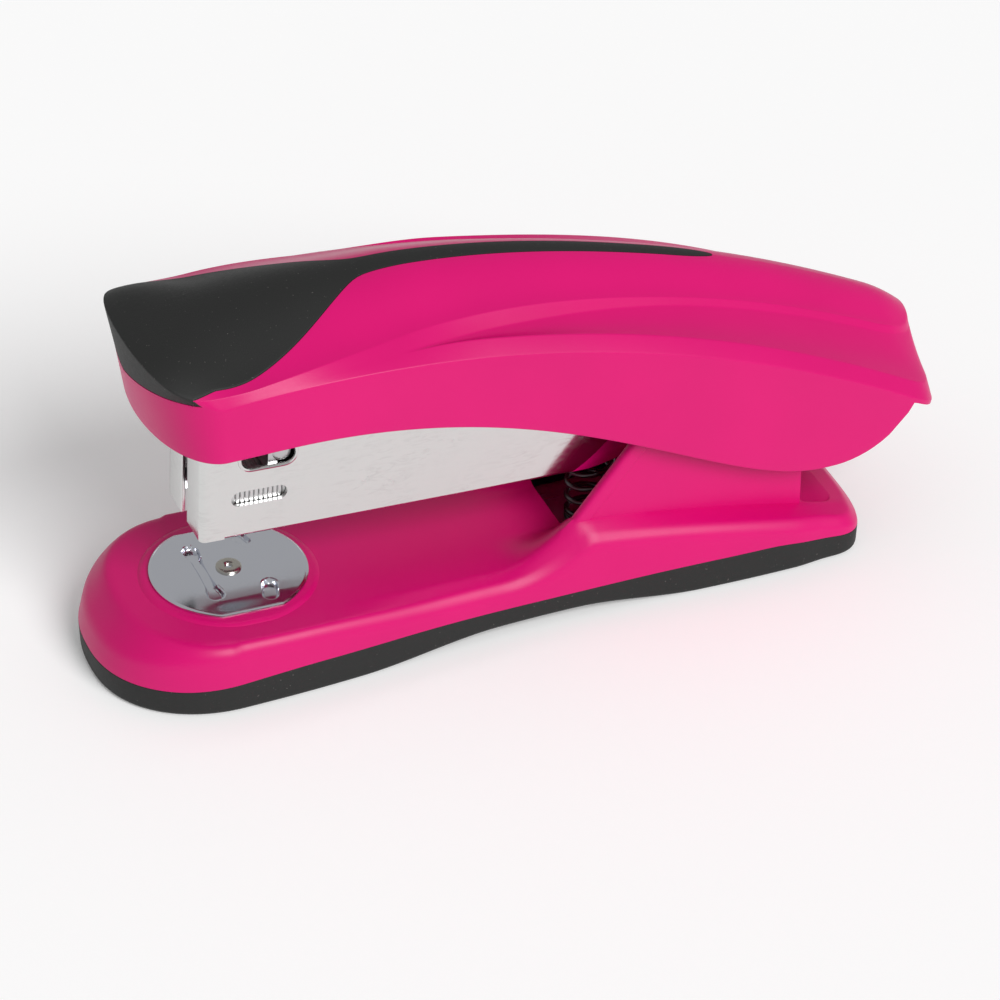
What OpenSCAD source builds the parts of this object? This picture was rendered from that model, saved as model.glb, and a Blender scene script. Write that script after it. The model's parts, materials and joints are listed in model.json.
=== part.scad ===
// Half-strip desk stapler. X runs from the nose to the hinge end, Y across, Z up.
// The origin is the middle of the footprint, on the desk.

/* [Overall] */
// Distance from the front of the base to the middle of the anvil
anvil_from_front = 22; // [21:0.5:24]
// Width of the base at the anvil
base_width = 36; // [35:0.5:38]
// Length of the base
base_length = 118; // [116:1:120]
// Width of the handle across its side panels
handle_width = 34; // [33.5:0.25:35]

/* [Base] */
// How much narrower each side of the base is at the waist
base_waist = 1.8; // [0:0.2:2.5]
// Height of the deck under the anvil
deck_height = 11; // [10.5:0.25:12]
// Fall of the deck towards the hinge, in degrees
deck_fall = 2.3; // [2:0.1:2.6]
// Height of the seam between the housing and the rubber sole
seam_height = 3.4; // [3:0.1:3.8]
// Rise of the sole between its front and rear feet
sole_arch = 1.6; // [1:0.1:2]
// Wall thickness of the base moulding
wall = 1.6; // [1.4:0.1:1.8]
// Wall thickness of the handle shell
handle_wall = 1.3; // [1.2:0.05:1.4]

/* [Anvil] */
// Radius of the anvil plate
anvil_radius = 11.6; // [11:0.1:12]
// Distance from the middle of the plate to each of its flats
anvil_flat = 10.6; // [10.2:0.1:11]
// Distance from the rivet to the clinching grooves
groove_offset = 3.9; // [3.6:0.1:4.2]

/* [Hinge] */
// Distance from the anvil's rivet back to the hinge pin
hinge_back = 84; // [83:0.5:85]
// Height of the hinge pin
hinge_height = 31; // [30.5:0.25:31.5]
// Radius of the hinge pin
pin_radius = 2; // [1.8:0.1:2.2]
// Radial clearance of what turns on the pin
pin_fit = 0.05; // [0.03:0.01:0.1]

/* [Magazine] */
// Tilt of the magazine at rest, nose up, in degrees
magazine_tilt = 3.3; // [3:0.1:3.6]
// Width of the chromed magazine
magazine_width = 14.4; // [14.2:0.1:14.6]
// Sheet thickness of the magazine
sheet = 0.6; // [0.5:0.05:0.7]
// Staples in the strip that is loaded
staple_count = 34; // [28:1:36]
// Length of the strip for each staple
staple_pitch = 0.7; // [0.68:0.01:0.7]
// Length of a staple's legs
staple_leg = 6; // [5.5:0.1:6]

/* [Hidden] */

$fn = 48;
eps = 0.01;
// Everything below is drawn with its zero at the anvil's rivet, then moved by this much.
overall_length = 130;
anvil_x = anvil_from_front - overall_length / 2;
base_front = -anvil_from_front;
base_rear = base_front + base_length;
base_half = base_width / 2;
handle_half = handle_width / 2;
handle_rear = overall_length - anvil_from_front;
handle_front = -14.8;

magenta = "#d81b78";
black = "#2b2b2b";
chrome = "#d4d6d8";
steel = "#9a9da1";

module place() { translate([anvil_x, 0, 0]) children(); }
module mirrored() { children(); mirror([0, 1, 0]) children(); }
// The hinge frame: zero on the pin, tilted with the magazine
module on_hinge() {
    place() translate([hinge_back, 0, hinge_height]) rotate([0, magazine_tilt, 0]) children();
}
// The anvil frame: zero on the deck at the rivet, with Z square to the deck
module on_deck() { place() translate([0, 0, deck_height]) rotate([0, deck_fall, 0]) children(); }
// A side outline, in X and Z, given thickness along Y from y0 to y1
module side_plate(y0, y1) {
    translate([0, y1, 0]) rotate([90, 0, 0]) linear_extrude(y1 - y0) children();
}
module cross_bore(r, reach) { rotate([90, 0, 0]) cylinder(r = r, h = 2 * reach, center = true); }
module slot(length, width) {
    half = (length - width) / 2;
    for (s = [-1, 1]) translate([s * half, 0]) circle(d = width);
    square([2 * half, width], center = true);
}

// ---- skins drawn as sections along X ----
function clamp01(v) = max(0, min(1, v));
function ease(v) = let (c = clamp01(v)) c * c * (3 - 2 * c);
function steps(a, b, n) = [for (i = [0 : n]) a + (b - a) * i / n];
// More stations where an end rounds over
function round_in(a, b, n) = [for (i = [0 : n - 1]) a + (b - a) * (1 - cos(90 * i / n))];
function round_out(a, b, n) = [for (i = [1 : n]) a + (b - a) * sin(90 * i / n)];

// A closed skin through rings of [y, z] points, one ring at each station in xs
module skin(xs, rings) {
    n = len(rings[0]);
    last = len(xs) - 1;
    points = [for (i = [0 : last]) for (p = rings[i]) [xs[i], p[0], p[1]]];
    sides = [
        for (i = [0 : last - 1]) for (j = [0 : n - 1])
            let (a = i * n + j, b = i * n + (j + 1) % n)
                each [[a, b, a + n], [b, b + n, a + n]]
    ];
    half = n / 2;
    front = [
        for (j = [0 : half - 2])
            each [[j, n - 1 - j, j + 1], [j + 1, n - 1 - j, n - 2 - j]]
    ];
    rear = [for (f = front) [for (k = [2 : -1 : 0]) last * n + f[k]]];
    polyhedron(points, concat(sides, front, rear), convexity = 8);
}
// The ring of a left half that runs from the bottom to the middle of the top
function ring(left) = concat(left, [for (i = [len(left) - 1 : -1 : 0]) [-left[i][0], left[i][1]]]);

// ---- base ----
front_round = 17;
rear_round = 5.5;
function base_y(x) =
    let (
        f = clamp01((base_front + front_round - x) / front_round),
        r = clamp01((x - base_rear + rear_round) / rear_round),
        dip = x > 0 && x < 84 ? base_waist * (1 - cos(360 * x / 84)) / 2 : 0
    ) (base_half - dip) * sqrt(max(0, 1 - f * f)) * pow(max(0, 1 - pow(r, 3)), 1 / 3);
function seam(x) = seam_height + 0.9 * ease(x / 30) * ease((84 - x) / 30);
function arch(x) = sole_arch * ease((x - 14) / 22) * ease((68 - x) / 20);
function deck(x) = deck_height - x * tan(deck_fall);
// The shoulders beside the column rise from the deck and fall again to the rear
shoulder_front = 50;
shoulder_height = 15.6;
function shoulder(x) =
    let (fall = shoulder_height - 0.19 * max(0, x - shoulder_front))
        deck(x) + (max(fall, deck(x)) - deck(x)) * ease((x - 36) / 14);
function nose(x) = seam(x) + 0.8 + 1.25 * (x - base_front);
function tail(x) = seam(x) + 1.2 + 1.3 * sqrt(max(0, base_rear - x)) * 1.6;
function base_top(x) = min(shoulder(x), nose(x), tail(x));

base_stations = concat(
    round_in(base_front + 0.05, -5, 7), steps(-5, 36, 7), steps(38, 50, 6),
    steps(54, 88, 7), round_out(89, base_rear - 0.05, 5)
);
// Thickness of the deck over the hollow inside
function roof(x) = 3.4 - 1.4 * ease((x - 20) / 20);
function housing_ring(x, inset, hollow) =
    let (
        y = max(0.4, base_y(x) - inset),
        low = seam(x) - (hollow ? 1 : 0),
        drop = hollow ? roof(x) : 0,
        top = max(low + 0.2, base_top(x) - drop),
        middle = min(top, max(low + 0.15, deck(x) - drop)),
        soft = min(2.4, (top - low) / 2),
        flat = max(0.28, y - min(3.2, y * 0.3))
    ) ring([
        [-y, low], [-max(0.36, y - 0.5), top - soft], [-max(0.32, y - 1.2), top - soft / 4],
        [-flat, top], [-min(flat * 0.9, flat - 0.1), middle - 0.02], [-0.1, middle - 0.05]
    ]);

boss_spots = [[-12, 7], [34, 9], [89, 8]];
well_front = 50.2;
well_rear = 86;
cheek_in = 11.6;
cheek_out = 13.6;
floor_top = seam_height + 1;
plate_gauge = 0.8;
screw_radius = 1.25;
screw_fit = 0.05;
pocket_radius = 10.6;
rim_rise = 0.35;

module at_screws() {
    place() for (b = boss_spots) for (s = [-1, 1]) translate([b[0], s * b[1], 0]) children();
}

module base_sole() {
    last = len(base_stations) - 1;
    backward = [for (i = [last : -1 : 0]) base_stations[i]];
    near_side = [for (x = base_stations) [x, -base_y(x)]];
    far_side = [for (x = backward) [x, base_y(x)]];
    color(black) difference() {
        place() intersection() {
            linear_extrude(10) polygon(concat(near_side, far_side));
            side_plate(-20, 20) polygon(concat(
                [for (x = base_stations) [x, seam(x)]], [for (x = backward) [x, arch(x)]]
            ));
        }
        at_screws() translate([0, 0, -1]) cylinder(r = 2.6, h = 8);
    }
}

module cheek_outline() {
    difference() {
        union() {
            polygon([
                [47, 12], [48.5, 16], [58, 27.6], [63, 32], [70, 34], [80, 34.4], [84, 34.5],
                [86.6, 32], [86.6, 29], [85.5, 26], [85.5, 7], [80, 6], [60, 6], [53, 7.5]
            ]);
            translate([hinge_back, hinge_height]) circle(r = 3.7);
        }
        translate([hinge_back, hinge_height]) circle(r = pin_radius + pin_fit);
    }
}

module base_housing() {
    inner = [for (x = base_stations) if (x > base_front + 2 && x < base_rear - 2) x];
    color(magenta) difference() {
        union() {
            difference() {
                union() {
                    place() skin(base_stations, [for (x = base_stations) housing_ring(x, 0, false)]);
                    on_deck() translate([0, 0, -0.6]) linear_extrude(0.6 + rim_rise) intersection() {
                        circle(r = anvil_radius + 1.3);
                        square([30, 2 * anvil_flat + 4.2], center = true);
                    }
                }
                place() skin(inner, [for (x = inner) housing_ring(x, wall, true)]);
                place() translate([well_front, -cheek_in, 2])
                    cube([well_rear - well_front, 2 * cheek_in, 20]);
                on_deck() translate([0, 0, -1.6]) cylinder(r = pocket_radius, h = 3);
                on_deck() translate([0, 0, -6]) cylinder(r = 1.35, h = 6);
            }
            place() mirrored() side_plate(cheek_in, cheek_out) cheek_outline();
            for (i = [0 : 2]) place() for (s = [-1, 1])
                translate([boss_spots[i][0], s * boss_spots[i][1], floor_top + plate_gauge])
                    cylinder(r = 2.6, h = deck(boss_spots[i][0]) - 1.6 - floor_top - plate_gauge);
        }
        at_screws() cylinder(r = screw_radius + screw_fit, h = 7);
    }
}

module base_plate() {
    color(steel) difference() {
        place() translate([-15, -10, floor_top]) cube([107, 20, plate_gauge]);
        at_screws() cylinder(r = screw_radius + screw_fit, h = 8);
    }
}

module base_screws() {
    color(steel) at_screws() difference() {
        union() {
            translate([0, 0, floor_top - 1.45]) cylinder(r = 2.3, h = 1.4);
            translate([0, 0, floor_top - 1]) cylinder(r = screw_radius, h = 3.2);
        }
        translate([0, 0, floor_top - 1.5]) for (a = [0, 90]) rotate(a)
            translate([-1.4, -0.3, 0]) cube([2.8, 0.6, 0.7]);
    }
}

module hinge_pin() {
    color(steel) on_hinge() {
        cross_bore(pin_radius, 14.4);
    }
}

module hinge_clips() {
    color(steel) on_hinge() mirrored() translate([0, cheek_out + 0.5, 0]) difference() {
        cross_bore(3, 0.4);
        cross_bore(pin_radius + 0.01, 1);
    }
}

module hinge_spacers() {
    color(steel) on_hinge() mirrored() translate([0, 10.1, 0]) difference() {
        cross_bore(3.2, 1.35);
        cross_bore(pin_radius + 0.01, 2);
    }
}

// ---- springs ----
// A coil along Z: turns of wire with radius r, from height 0 to height h
module coil(radius, r, h, turns) {
    around = 6;
    per_turn = 14;
    n = turns * per_turn;
    rise = (h - 2 * r) / n;
    points = [
        for (i = [0 : n]) for (k = [0 : around - 1])
            let (a = 360 * i / per_turn, b = 360 * k / around, q = radius + r * cos(b))
                [q * cos(a), q * sin(a), r + i * rise + r * sin(b)]
    ];
    sides = [
        for (i = [0 : n - 1]) for (k = [0 : around - 1])
            let (a = i * around + k, b = i * around + (k + 1) % around)
                each [[a, b, a + around], [b, b + around, a + around]]
    ];
    start = [for (k = [around - 1 : -1 : 0]) k];
    finish = [for (k = [0 : around - 1]) n * around + k];
    polyhedron(points, concat(sides, [start, finish]), convexity = 10);
}

return_spring_x = 57;
module return_spring() {
    color(chrome) place() translate([return_spring_x, 0, floor_top + plate_gauge + 0.02])
        coil(3.4, 0.45, 13.1, 6);
}

// ---- anvil ----
plate_base = rim_rise + 0.08;
plate_thick = 0.55;
module groove(length, width) { rotate(90) slot(length, width); }
module groove_set(grow) {
    translate([-groove_offset, 0]) groove(14 + grow, 1.9 + grow);
    for (s = [-1, 1]) translate([groove_offset, s * 6.8]) groove(3.4 + grow, 1.9 + grow);
}
module anvil_plate() {
    color(chrome) on_deck() translate([0, 0, plate_base]) difference() {
        union() {
            linear_extrude(plate_thick) intersection() {
                circle(r = anvil_radius, $fn = 96);
                square([30, 2 * anvil_flat], center = true);
            }
            translate([0, 0, -0.8]) linear_extrude(0.8 + eps) groove_set(1);
        }
        translate([0, 0, -0.35]) linear_extrude(2) groove_set(0);
        translate([0, 0, -2]) cylinder(r = 1.31, h = 4);
    }
}

module anvil_rivet() {
    color(chrome) on_deck() difference() {
        union() {
            translate([0, 0, -4.4]) cylinder(r = 1.3, h = 4.5 + plate_base + plate_thick);
            translate([0, 0, plate_base + plate_thick]) cylinder(r = 1.9, h = 0.35);
            translate([0, 0, -4.6]) cylinder(r = 2.1, h = 0.5);
        }
        translate([0, 0, -5]) cylinder(r = 0.7, h = 7);
    }
}

module anvil_spring_washer() {
    color(steel) on_deck() translate([0, 0, -4.05]) difference() {
        cylinder(r = 3.6, h = 0.5);
        translate([0, 0, -1]) cylinder(r = 1.32, h = 3);
    }
}

// ---- magazine, in the hinge frame ----
magazine_half = magazine_width / 2;
magazine_front = -89.6;
magazine_low = -13.3;
magazine_high = 2.4;
channel_half = magazine_half - sheet;
front_slot = 1.1;
staple_front = -87;
strip_length = staple_count * staple_pitch;
strip_end = staple_front + strip_length;
crown_top = -3.9;
rail_top = crown_top - 0.5;
rail_half = 5.75;
rail_rear = -34;
window_at = [-80.9, -6.9];
eye_at = [-79, -1.1];
bridge_x = -76.9;

module cover_side() {
    difference() {
        union() {
            polygon([
                [magazine_front, magazine_low + 0.7], [magazine_front + 0.7, magazine_low],
                [-35, magazine_low], [-31.4, magazine_low + 0.8], [-29, magazine_low + 2.8],
                [-22.6, -3], [-20.5, magazine_high], [magazine_front, magazine_high]
            ]);
        }
        translate(window_at) slot(8.4, 2.4);
        translate(eye_at) slot(8.2, 3.6);
    }
}
module magazine_cover() {
    color(chrome) on_hinge() {
        mirrored() side_plate(channel_half, magazine_half) cover_side();
        mirrored() translate([magazine_front, front_slot, magazine_low + 1])
            cube([sheet, magazine_half - front_slot - 0.3, magazine_high - magazine_low - 1]);
        translate([staple_front + 0.6, -magazine_half + 0.3, magazine_low])
            cube([-36 - staple_front - 0.6, magazine_width - 0.6, sheet]);
    }
}

module staple_rail() {
    low = magazine_low + sheet;
    color(steel) on_hinge() difference() {
        translate([staple_front + 0.1, -rail_half, low])
            cube([rail_rear - staple_front - 0.1, 2 * rail_half, rail_top - low]);
        translate([staple_front - 1, -rail_half + 0.8, low - 1])
            cube([rail_rear - staple_front + 2, 2 * rail_half - 1.6, rail_top - low + 0.2]);
        translate([-78, -1.3, -9]) cube([40, 2.6, 9]);
    }
}

// A lip of the carrier runs forward under the chromed channel
tray_front = -68;
module magazine_carrier() {
    color(magenta) on_hinge() side_plate(-6.5, 6.5) difference() {
        union() {
            polygon([
                [rail_rear + 0.1, magazine_low - 0.6], [-27, magazine_low - 0.6], [-22, -12], [-12, -7.4], [-4, -5], [-3, 4.5],
                [-18, 1], [rail_rear + 0.1, 1]
            ]);
            circle(r = 5.4);
            translate([tray_front, magazine_low - 0.6]) square([rail_rear - tray_front + 2, 0.58]);
        }
        circle(r = pin_radius + pin_fit);
    }
}

module staple_strip() {
    out = 6.45;
    in = 5.9;
    color(chrome) on_hinge() difference() {
        translate([staple_front, -out, crown_top - staple_leg])
            cube([strip_length, 2 * out, staple_leg]);
        translate([staple_front - 1, -in, crown_top - staple_leg - 1])
            cube([strip_length + 2, 2 * in, staple_leg + 0.5]);
    }
}

module front_bridge() {
    color(steel) on_hinge() side_plate(-channel_half + 0.02, channel_half - 0.02) difference() {
        translate([bridge_x - 2.6, crown_top + 0.4]) square([5.2, magazine_high - crown_top - 0.9]);
        translate([bridge_x, eye_at[1]]) circle(r = 1.52);
    }
}

module guide_pin() {
    color(steel) on_hinge() translate([bridge_x, 0, eye_at[1]]) cross_bore(1.5, 7);
}

rod_w = -8.6;
module pusher_rod() {
    color(steel) on_hinge() translate([-84, 0, rod_w]) rotate([0, 90, 0])
        cylinder(r = 1, h = rail_rear + 84.1);
}

pusher_length = 10;
pusher_front = strip_end + 0.1;
module pusher() {
    color(black) on_hinge() difference() {
        union() {
            // saddle over the rail
            translate([pusher_front, -6.4, rail_top - 4])
                cube([pusher_length, 12.8, 4 + 4.4]);
            // neck and block inside the rail
            translate([pusher_front + 1, -1.1, -9]) cube([pusher_length - 2, 2.2, 6]);
        }
        translate([pusher_front - 1, -rail_half - 0.1, rail_top - 5])
            difference() {
                cube([pusher_length + 2, 2 * rail_half + 0.2, 5.1]);
                translate([2, rail_half - 1, 0]) cube([pusher_length - 2, 2.2, 6]);
            }
        translate([pusher_front - 2, 0, rod_w]) rotate([0, 90, 0])
            cylinder(r = 1 + pin_fit, h = pusher_length + 4);
    }
    color(black) on_hinge() difference() {
        translate([pusher_front + 1, -4.2, -11.6]) cube([pusher_length - 2, 8.4, 6]);
        translate([pusher_front - 2, 0, rod_w]) rotate([0, 90, 0])
            cylinder(r = 1 + pin_fit, h = pusher_length + 4);
    }
}

pusher_spring_from = pusher_front + pusher_length - 0.9;
module pusher_spring() {
    color(chrome) on_hinge() translate([pusher_spring_from, 0, rod_w]) rotate([0, 90, 0])
        coil(2.1, 0.3, rail_rear - pusher_spring_from, 10);
}

// ---- handle ----
crest_top = 58.7;
crest_bend = 0.00304;
function crest(x) = crest_top - crest_bend * pow(x - 14, 2) - 0.03 * pow(max(0, x - 100), 2);
function side_top(x) = max(25.2, 52.1 - 0.00314 * pow(x - 10, 2));
function ridge_half(x) = 6.2 + 9.6 / (1 + pow((x + 5) / 44, 2));
function ridge_drop(x) = 0.36 * ridge_half(x) - 0.4;
// Lower edge: level at the nose, then a long S down to the rounded heel over the hinge
function bezier(a, b, c, d, t) =
    a * pow(1 - t, 3) + 3 * b * pow(1 - t, 2) * t + 3 * c * (1 - t) * t * t + d * t * t * t;
function solve_t(x, lo, hi, n) =
    n == 0 ? (lo + hi) / 2
    : bezier(4, 48, 70, 88, (lo + hi) / 2) < x ? solve_t(x, (lo + hi) / 2, hi, n - 1)
    : solve_t(x, lo, (lo + hi) / 2, n - 1);
heel_radius = 14.5;
function low_edge(x) =
    x < 4 ? 42.7
    : x < 88 ? bezier(42.7, 42.7, 16.8, 16.8, solve_t(x, 0, 1, 18))
    : min(23.5, 31.3 - sqrt(max(0, heel_radius * heel_radius - pow(x - 88.5, 2))));
handle_nose = 10.3;
function handle_scale(x) =
    let (
        f = clamp01((handle_front + handle_nose - x) / handle_nose),
        r = clamp01((x - handle_rear + 4) / 4)
    ) sqrt(max(0.0004, 1 - f * f)) * (1 - 0.12 * r * r);

handle_stations = concat(
    round_in(handle_front, -4.5, 6), steps(-4.5, 84, 16), steps(88, 100, 4), steps(102, handle_rear, 3)
);
// Left half of the section, from the lower edge over the two chamfered bands to the crest
function handle_ring(x, inset, extra) =
    let (
        k = max(0.02, (handle_scale(x) * handle_half - inset) / (handle_half - inset)),
        a = ridge_half(x) - inset,
        top = crest(x) - inset,
        edge = top - ridge_drop(x),
        wide = handle_half - inset,
        low = low_edge(x) - extra,
        b2 = side_top(x) - inset,
        band = 0.9 + 0.9 * ease((38 - x) / 14),
        open = ease((x - 24) / 14),
        a2y = (1 - open) * (wide - 2) + open * (a + band),
        a2z = (1 - open) * (b2 + 1.3) + open * (edge - 0.8)
    ) ring([
        [-wide * k, low], [-wide * k, b2], [-(wide - 2) * k, b2 + 1.3 + 0.7 * open],
        [-a2y * k, a2z], [-a * k, edge], [-a * 0.72 * k, edge + ridge_drop(x) * 0.49],
        [-a * 0.38 * k, edge + ridge_drop(x) * 0.86], [-0.05 * k, top]
    ]);

module handle_body(inset, extra) {
    xs = inset == 0 ? handle_stations
        : [for (x = handle_stations) if (x > handle_front + inset && x < handle_rear - inset) x];
    skin(xs, [for (x = xs) handle_ring(x, inset, extra)]);
}

// The inlay covers the whole nose, narrows in a sweep and runs back as a thin tail
grip_depth = 1.2;
grip_tail = 76;
function grip_half(x) =
    x < -8 ? 20
    : x < 17 ? 1.6 + 14.8 * pow(cos(90 * clamp01((x + 8) / 25)), 0.9)
    : 1.6 * sqrt(max(0, 1 - pow(clamp01((x - 66) / 10), 2)));
module grip_prism(grow) {
    xs = concat([-20, -8], steps(-6, 17, 8), [30, 50, 66, 70, 73, grip_tail - 0.3]);
    outline = concat(
        [for (x = xs) [x, -grip_half(x) - grow]],
        [for (i = [len(xs) - 1 : -1 : 0]) [xs[i], grip_half(xs[i]) + grow]]
    );
    intersection() {
        translate([0, 0, 30]) linear_extrude(40) polygon(outline);
        // the front edge of the inlay is a narrow bevel, and its sides stay on the crown
        side_plate(-25, 25) polygon([
            [-25, 50.4 - grow], [-7, 52.6 - grow], [16, 47], [90, 34], [90, 80], [-25, 80]
        ]);
    }
}

module handle_shell() {
    color(magenta) difference() {
        union() {
            place() difference() {
                handle_body(0, 0);
                handle_body(handle_wall, 6);
            }
            for (x = handle_screw_spots) on_frame(x) translate([0, 0, 0.1]) cylinder(r = 3.2, h = 10.3);
        }
        place() difference() {
            grip_prism(0.05);
            handle_body(grip_depth * 0.999, 20);
        }
        for (x = handle_screw_spots) on_frame(x)
            translate([0, 0, -1]) cylinder(r = 1.2, h = 9);
    }
}
module grip_inlay() {
    color(black) place() difference() {
        intersection() {
            handle_body(0, 0);
            grip_prism(0);
        }
        handle_body(grip_depth, 20);
    }
}

// The steel lever under the shell, an inverted channel that turns on the pin
frame_in = 7.7;
frame_out = 8.6;
frame_front = -4;
frame_front_top = 50.6;
frame_fall = 0.1375;
function frame_top(x) = frame_front_top - frame_fall * (x - frame_front);
frame_angle = atan(frame_fall);
frame_web = 1;
// On top of the lever's web, square to it
module on_frame(x) {
    place() translate([x, 0, frame_top(x)]) rotate([0, frame_angle, 0]) children();
}
handle_screw_spots = [28, 48];
module handle_frame() {
    color(steel) difference() {
        place() frame_sides();
        for (x = handle_screw_spots) on_frame(x) translate([0, 0, -2]) cylinder(r = 1.25, h = 4);
        driver_rivet_holes();
    }
}
module driver_rivet_holes() {
    for (s = [-1, 1]) on_frame(driver_rivet_x) translate([0, 3.2 * s, -3]) cylinder(r = 1.22, h = 6);
}
module frame_sides() {
    union() {
        mirrored() side_plate(frame_in, frame_out) difference() {
            union() {
                polygon([
                    [frame_front, 44.6], [20, 43], [45, 38.6], [66, 32], [hinge_back, 26.6],
                    [hinge_back + 4, 34], [hinge_back, frame_top(hinge_back)],
                    [frame_front, frame_front_top]
                ]);
                translate([hinge_back, hinge_height]) circle(r = 4.8);
            }
            translate([hinge_back, hinge_height]) circle(r = pin_radius + pin_fit);
        }
        side_plate(-frame_in - eps, frame_in + eps) polygon([
            [frame_front, frame_front_top - frame_web], [frame_front, frame_front_top],
            [76, frame_top(76)], [76, frame_top(76) - frame_web]
        ]);
    }
}

// Driver blade in the hinge frame: its tip stands just above the first staple
blade_thick = 0.6;
blade_lean = 3;
blade_tip = [-88.45, -3.4];
blade_half = 6.2;
driver_rivet_x = 3;
blade_height = 16.6;
module driver_blade() {
    tab_z = blade_height - 0.6;
    color(steel) difference() {
        on_hinge() translate([blade_tip[0], 0, blade_tip[1]]) {
            rotate([0, blade_lean, 0]) translate([-blade_thick / 2, -blade_half, 0])
                cube([blade_thick, 2 * blade_half, blade_height]);
            translate([0.5, -blade_half, tab_z]) rotate([0, frame_angle - magazine_tilt, 0])
                cube([10, 2 * blade_half, blade_thick]);
        }
        driver_rivet_holes();
    }
}
module driver_rivets() {
    color(steel) for (s = [-1, 1]) on_frame(driver_rivet_x) translate([0, 3.2 * s, 0]) {
        translate([0, 0, 0.02]) cylinder(r = 1.8, h = 0.7);
        translate([0, 0, -2.2]) cylinder(r = 1.2, h = 2.5);
        translate([0, 0, -2.6]) cylinder(r = 1.8, h = 0.6);
    }
}

handle_spring_x = 60;
module handle_spring() {
    color(chrome) place() translate([handle_spring_x, 0, 33.6]) coil(3, 0.4, 6.9, 4);
}

module handle_screws() {
    color(steel) for (x = handle_screw_spots) on_frame(x) {
        translate([0, 0, -frame_web - 1.25]) cylinder(r = 2.2, h = 1.2);
        translate([0, 0, -frame_web - 0.3]) cylinder(r = 1.15, h = 7);
    }
}

base_sole();
base_housing();
base_plate();
base_screws();
hinge_pin();
hinge_clips();
hinge_spacers();
return_spring();
anvil_plate();
anvil_rivet();
anvil_spring_washer();
magazine_cover();
staple_rail();
magazine_carrier();
staple_strip();
front_bridge();
guide_pin();
pusher_rod();
pusher();
pusher_spring();
handle_shell();
grip_inlay();
handle_frame();
driver_blade();
driver_rivets();
handle_spring();
handle_screws();
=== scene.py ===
"""Half-strip desk stapler: moulded handle and base, chromed magazine, turning anvil.

Sizes in this script are millimetres, measured along X from the anvil's rivet, across Y from the
centre plane and up Z from the desk. place() turns them into the frame's metres.
"""

import json
import math

import bmesh
import bpy
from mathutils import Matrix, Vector


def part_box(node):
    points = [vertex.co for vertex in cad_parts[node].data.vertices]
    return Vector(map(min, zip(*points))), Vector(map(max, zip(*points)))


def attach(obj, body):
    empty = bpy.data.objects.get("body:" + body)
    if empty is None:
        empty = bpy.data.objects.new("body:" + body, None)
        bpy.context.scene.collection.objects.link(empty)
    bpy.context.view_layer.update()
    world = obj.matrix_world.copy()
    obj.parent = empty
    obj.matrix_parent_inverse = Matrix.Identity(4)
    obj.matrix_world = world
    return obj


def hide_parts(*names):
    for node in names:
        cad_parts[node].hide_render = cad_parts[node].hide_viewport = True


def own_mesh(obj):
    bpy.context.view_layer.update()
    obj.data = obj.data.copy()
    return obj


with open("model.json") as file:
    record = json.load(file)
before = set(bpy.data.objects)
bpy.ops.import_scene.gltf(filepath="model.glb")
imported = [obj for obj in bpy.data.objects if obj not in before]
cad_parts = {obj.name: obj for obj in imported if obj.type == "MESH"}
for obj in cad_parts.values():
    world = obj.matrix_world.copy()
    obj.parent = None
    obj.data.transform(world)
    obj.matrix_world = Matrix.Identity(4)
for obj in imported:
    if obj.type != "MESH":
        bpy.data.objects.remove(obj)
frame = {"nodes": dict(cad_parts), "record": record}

bl_info = {
    "name": "Desk Stapler",
    "version": (1, 0, 0),
    "blender": (4, 5, 0),
    "location": "View3D > Sidebar > Stapler",
    "description": "Builds a half-strip desk stapler around its packed frame",
    "category": "Add Mesh",
}

MM = 0.001
JOINTS = {joint["name"]: joint for joint in frame["record"]["behaviour"]["joints"]}
RIVET = Vector(JOINTS["anvil_turn"]["pos_m"])
HINGE = Vector(JOINTS["magazine_hinge"]["pos_m"])
DECK_FALL = math.atan2(JOINTS["anvil_turn"]["axis"][0], JOINTS["anvil_turn"]["axis"][2])
SLIDE_AXIS = JOINTS["pusher_slide"]["axis"]
TILT = math.atan2(-SLIDE_AXIS[2], SLIDE_AXIS[0])
QUARTER = math.pi / 2


# ---------------------------------------------------------------- settings


def length(name, description, default, low, high):
    """A length in millimetres that the panel shows."""
    return bpy.props.FloatProperty(
        name=name, description=description, default=default, min=low, max=high, unit="NONE"
    )


def colour(name, description, default):
    """A colour that the panel shows."""
    return bpy.props.FloatVectorProperty(
        name=name, description=description, default=default, min=0.0, max=1.0, size=3, subtype="COLOR"
    )


class HandleSettings(bpy.types.PropertyGroup):
    half_width: length("Half width", "From the centre plane to a side panel, mm", 17.0, 16.5, 17.5)
    waist: length("Waist", "How much narrower each side is at the waist, mm", 0.9, 0.0, 1.2)
    crest: length("Crest height", "Highest point of the handle above the desk, mm", 58.7, 58.0, 59.0)
    wall: length("Wall", "Thickness of the shell, mm", 1.5, 1.2, 1.8)
    grip_depth: length("Grip depth", "Thickness of the rubber inlay, mm", 1.0, 0.8, 1.2)
    edge: length("Edge radius", "Rounding of the chamfered bands, mm", 0.22, 0.1, 0.6)


class BaseSettings(bpy.types.PropertyGroup):
    half_width: length("Half width", "From the centre plane to the side at the anvil, mm", 18.0, 17.5, 18.5)
    waist: length("Waist", "How much narrower each side is at the waist, mm", 1.7, 0.0, 2.5)
    seam: length("Seam height", "Height of the seam over the sole at the nose, mm", 4.4, 4.0, 4.6)
    arch: length("Arch", "Rise of the sole between its feet, mm", 1.6, 1.0, 2.0)
    well_front: length("Well", "Where the deck ends before the hinge column, mm", 50.2, 49.0, 52.0)


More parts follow.
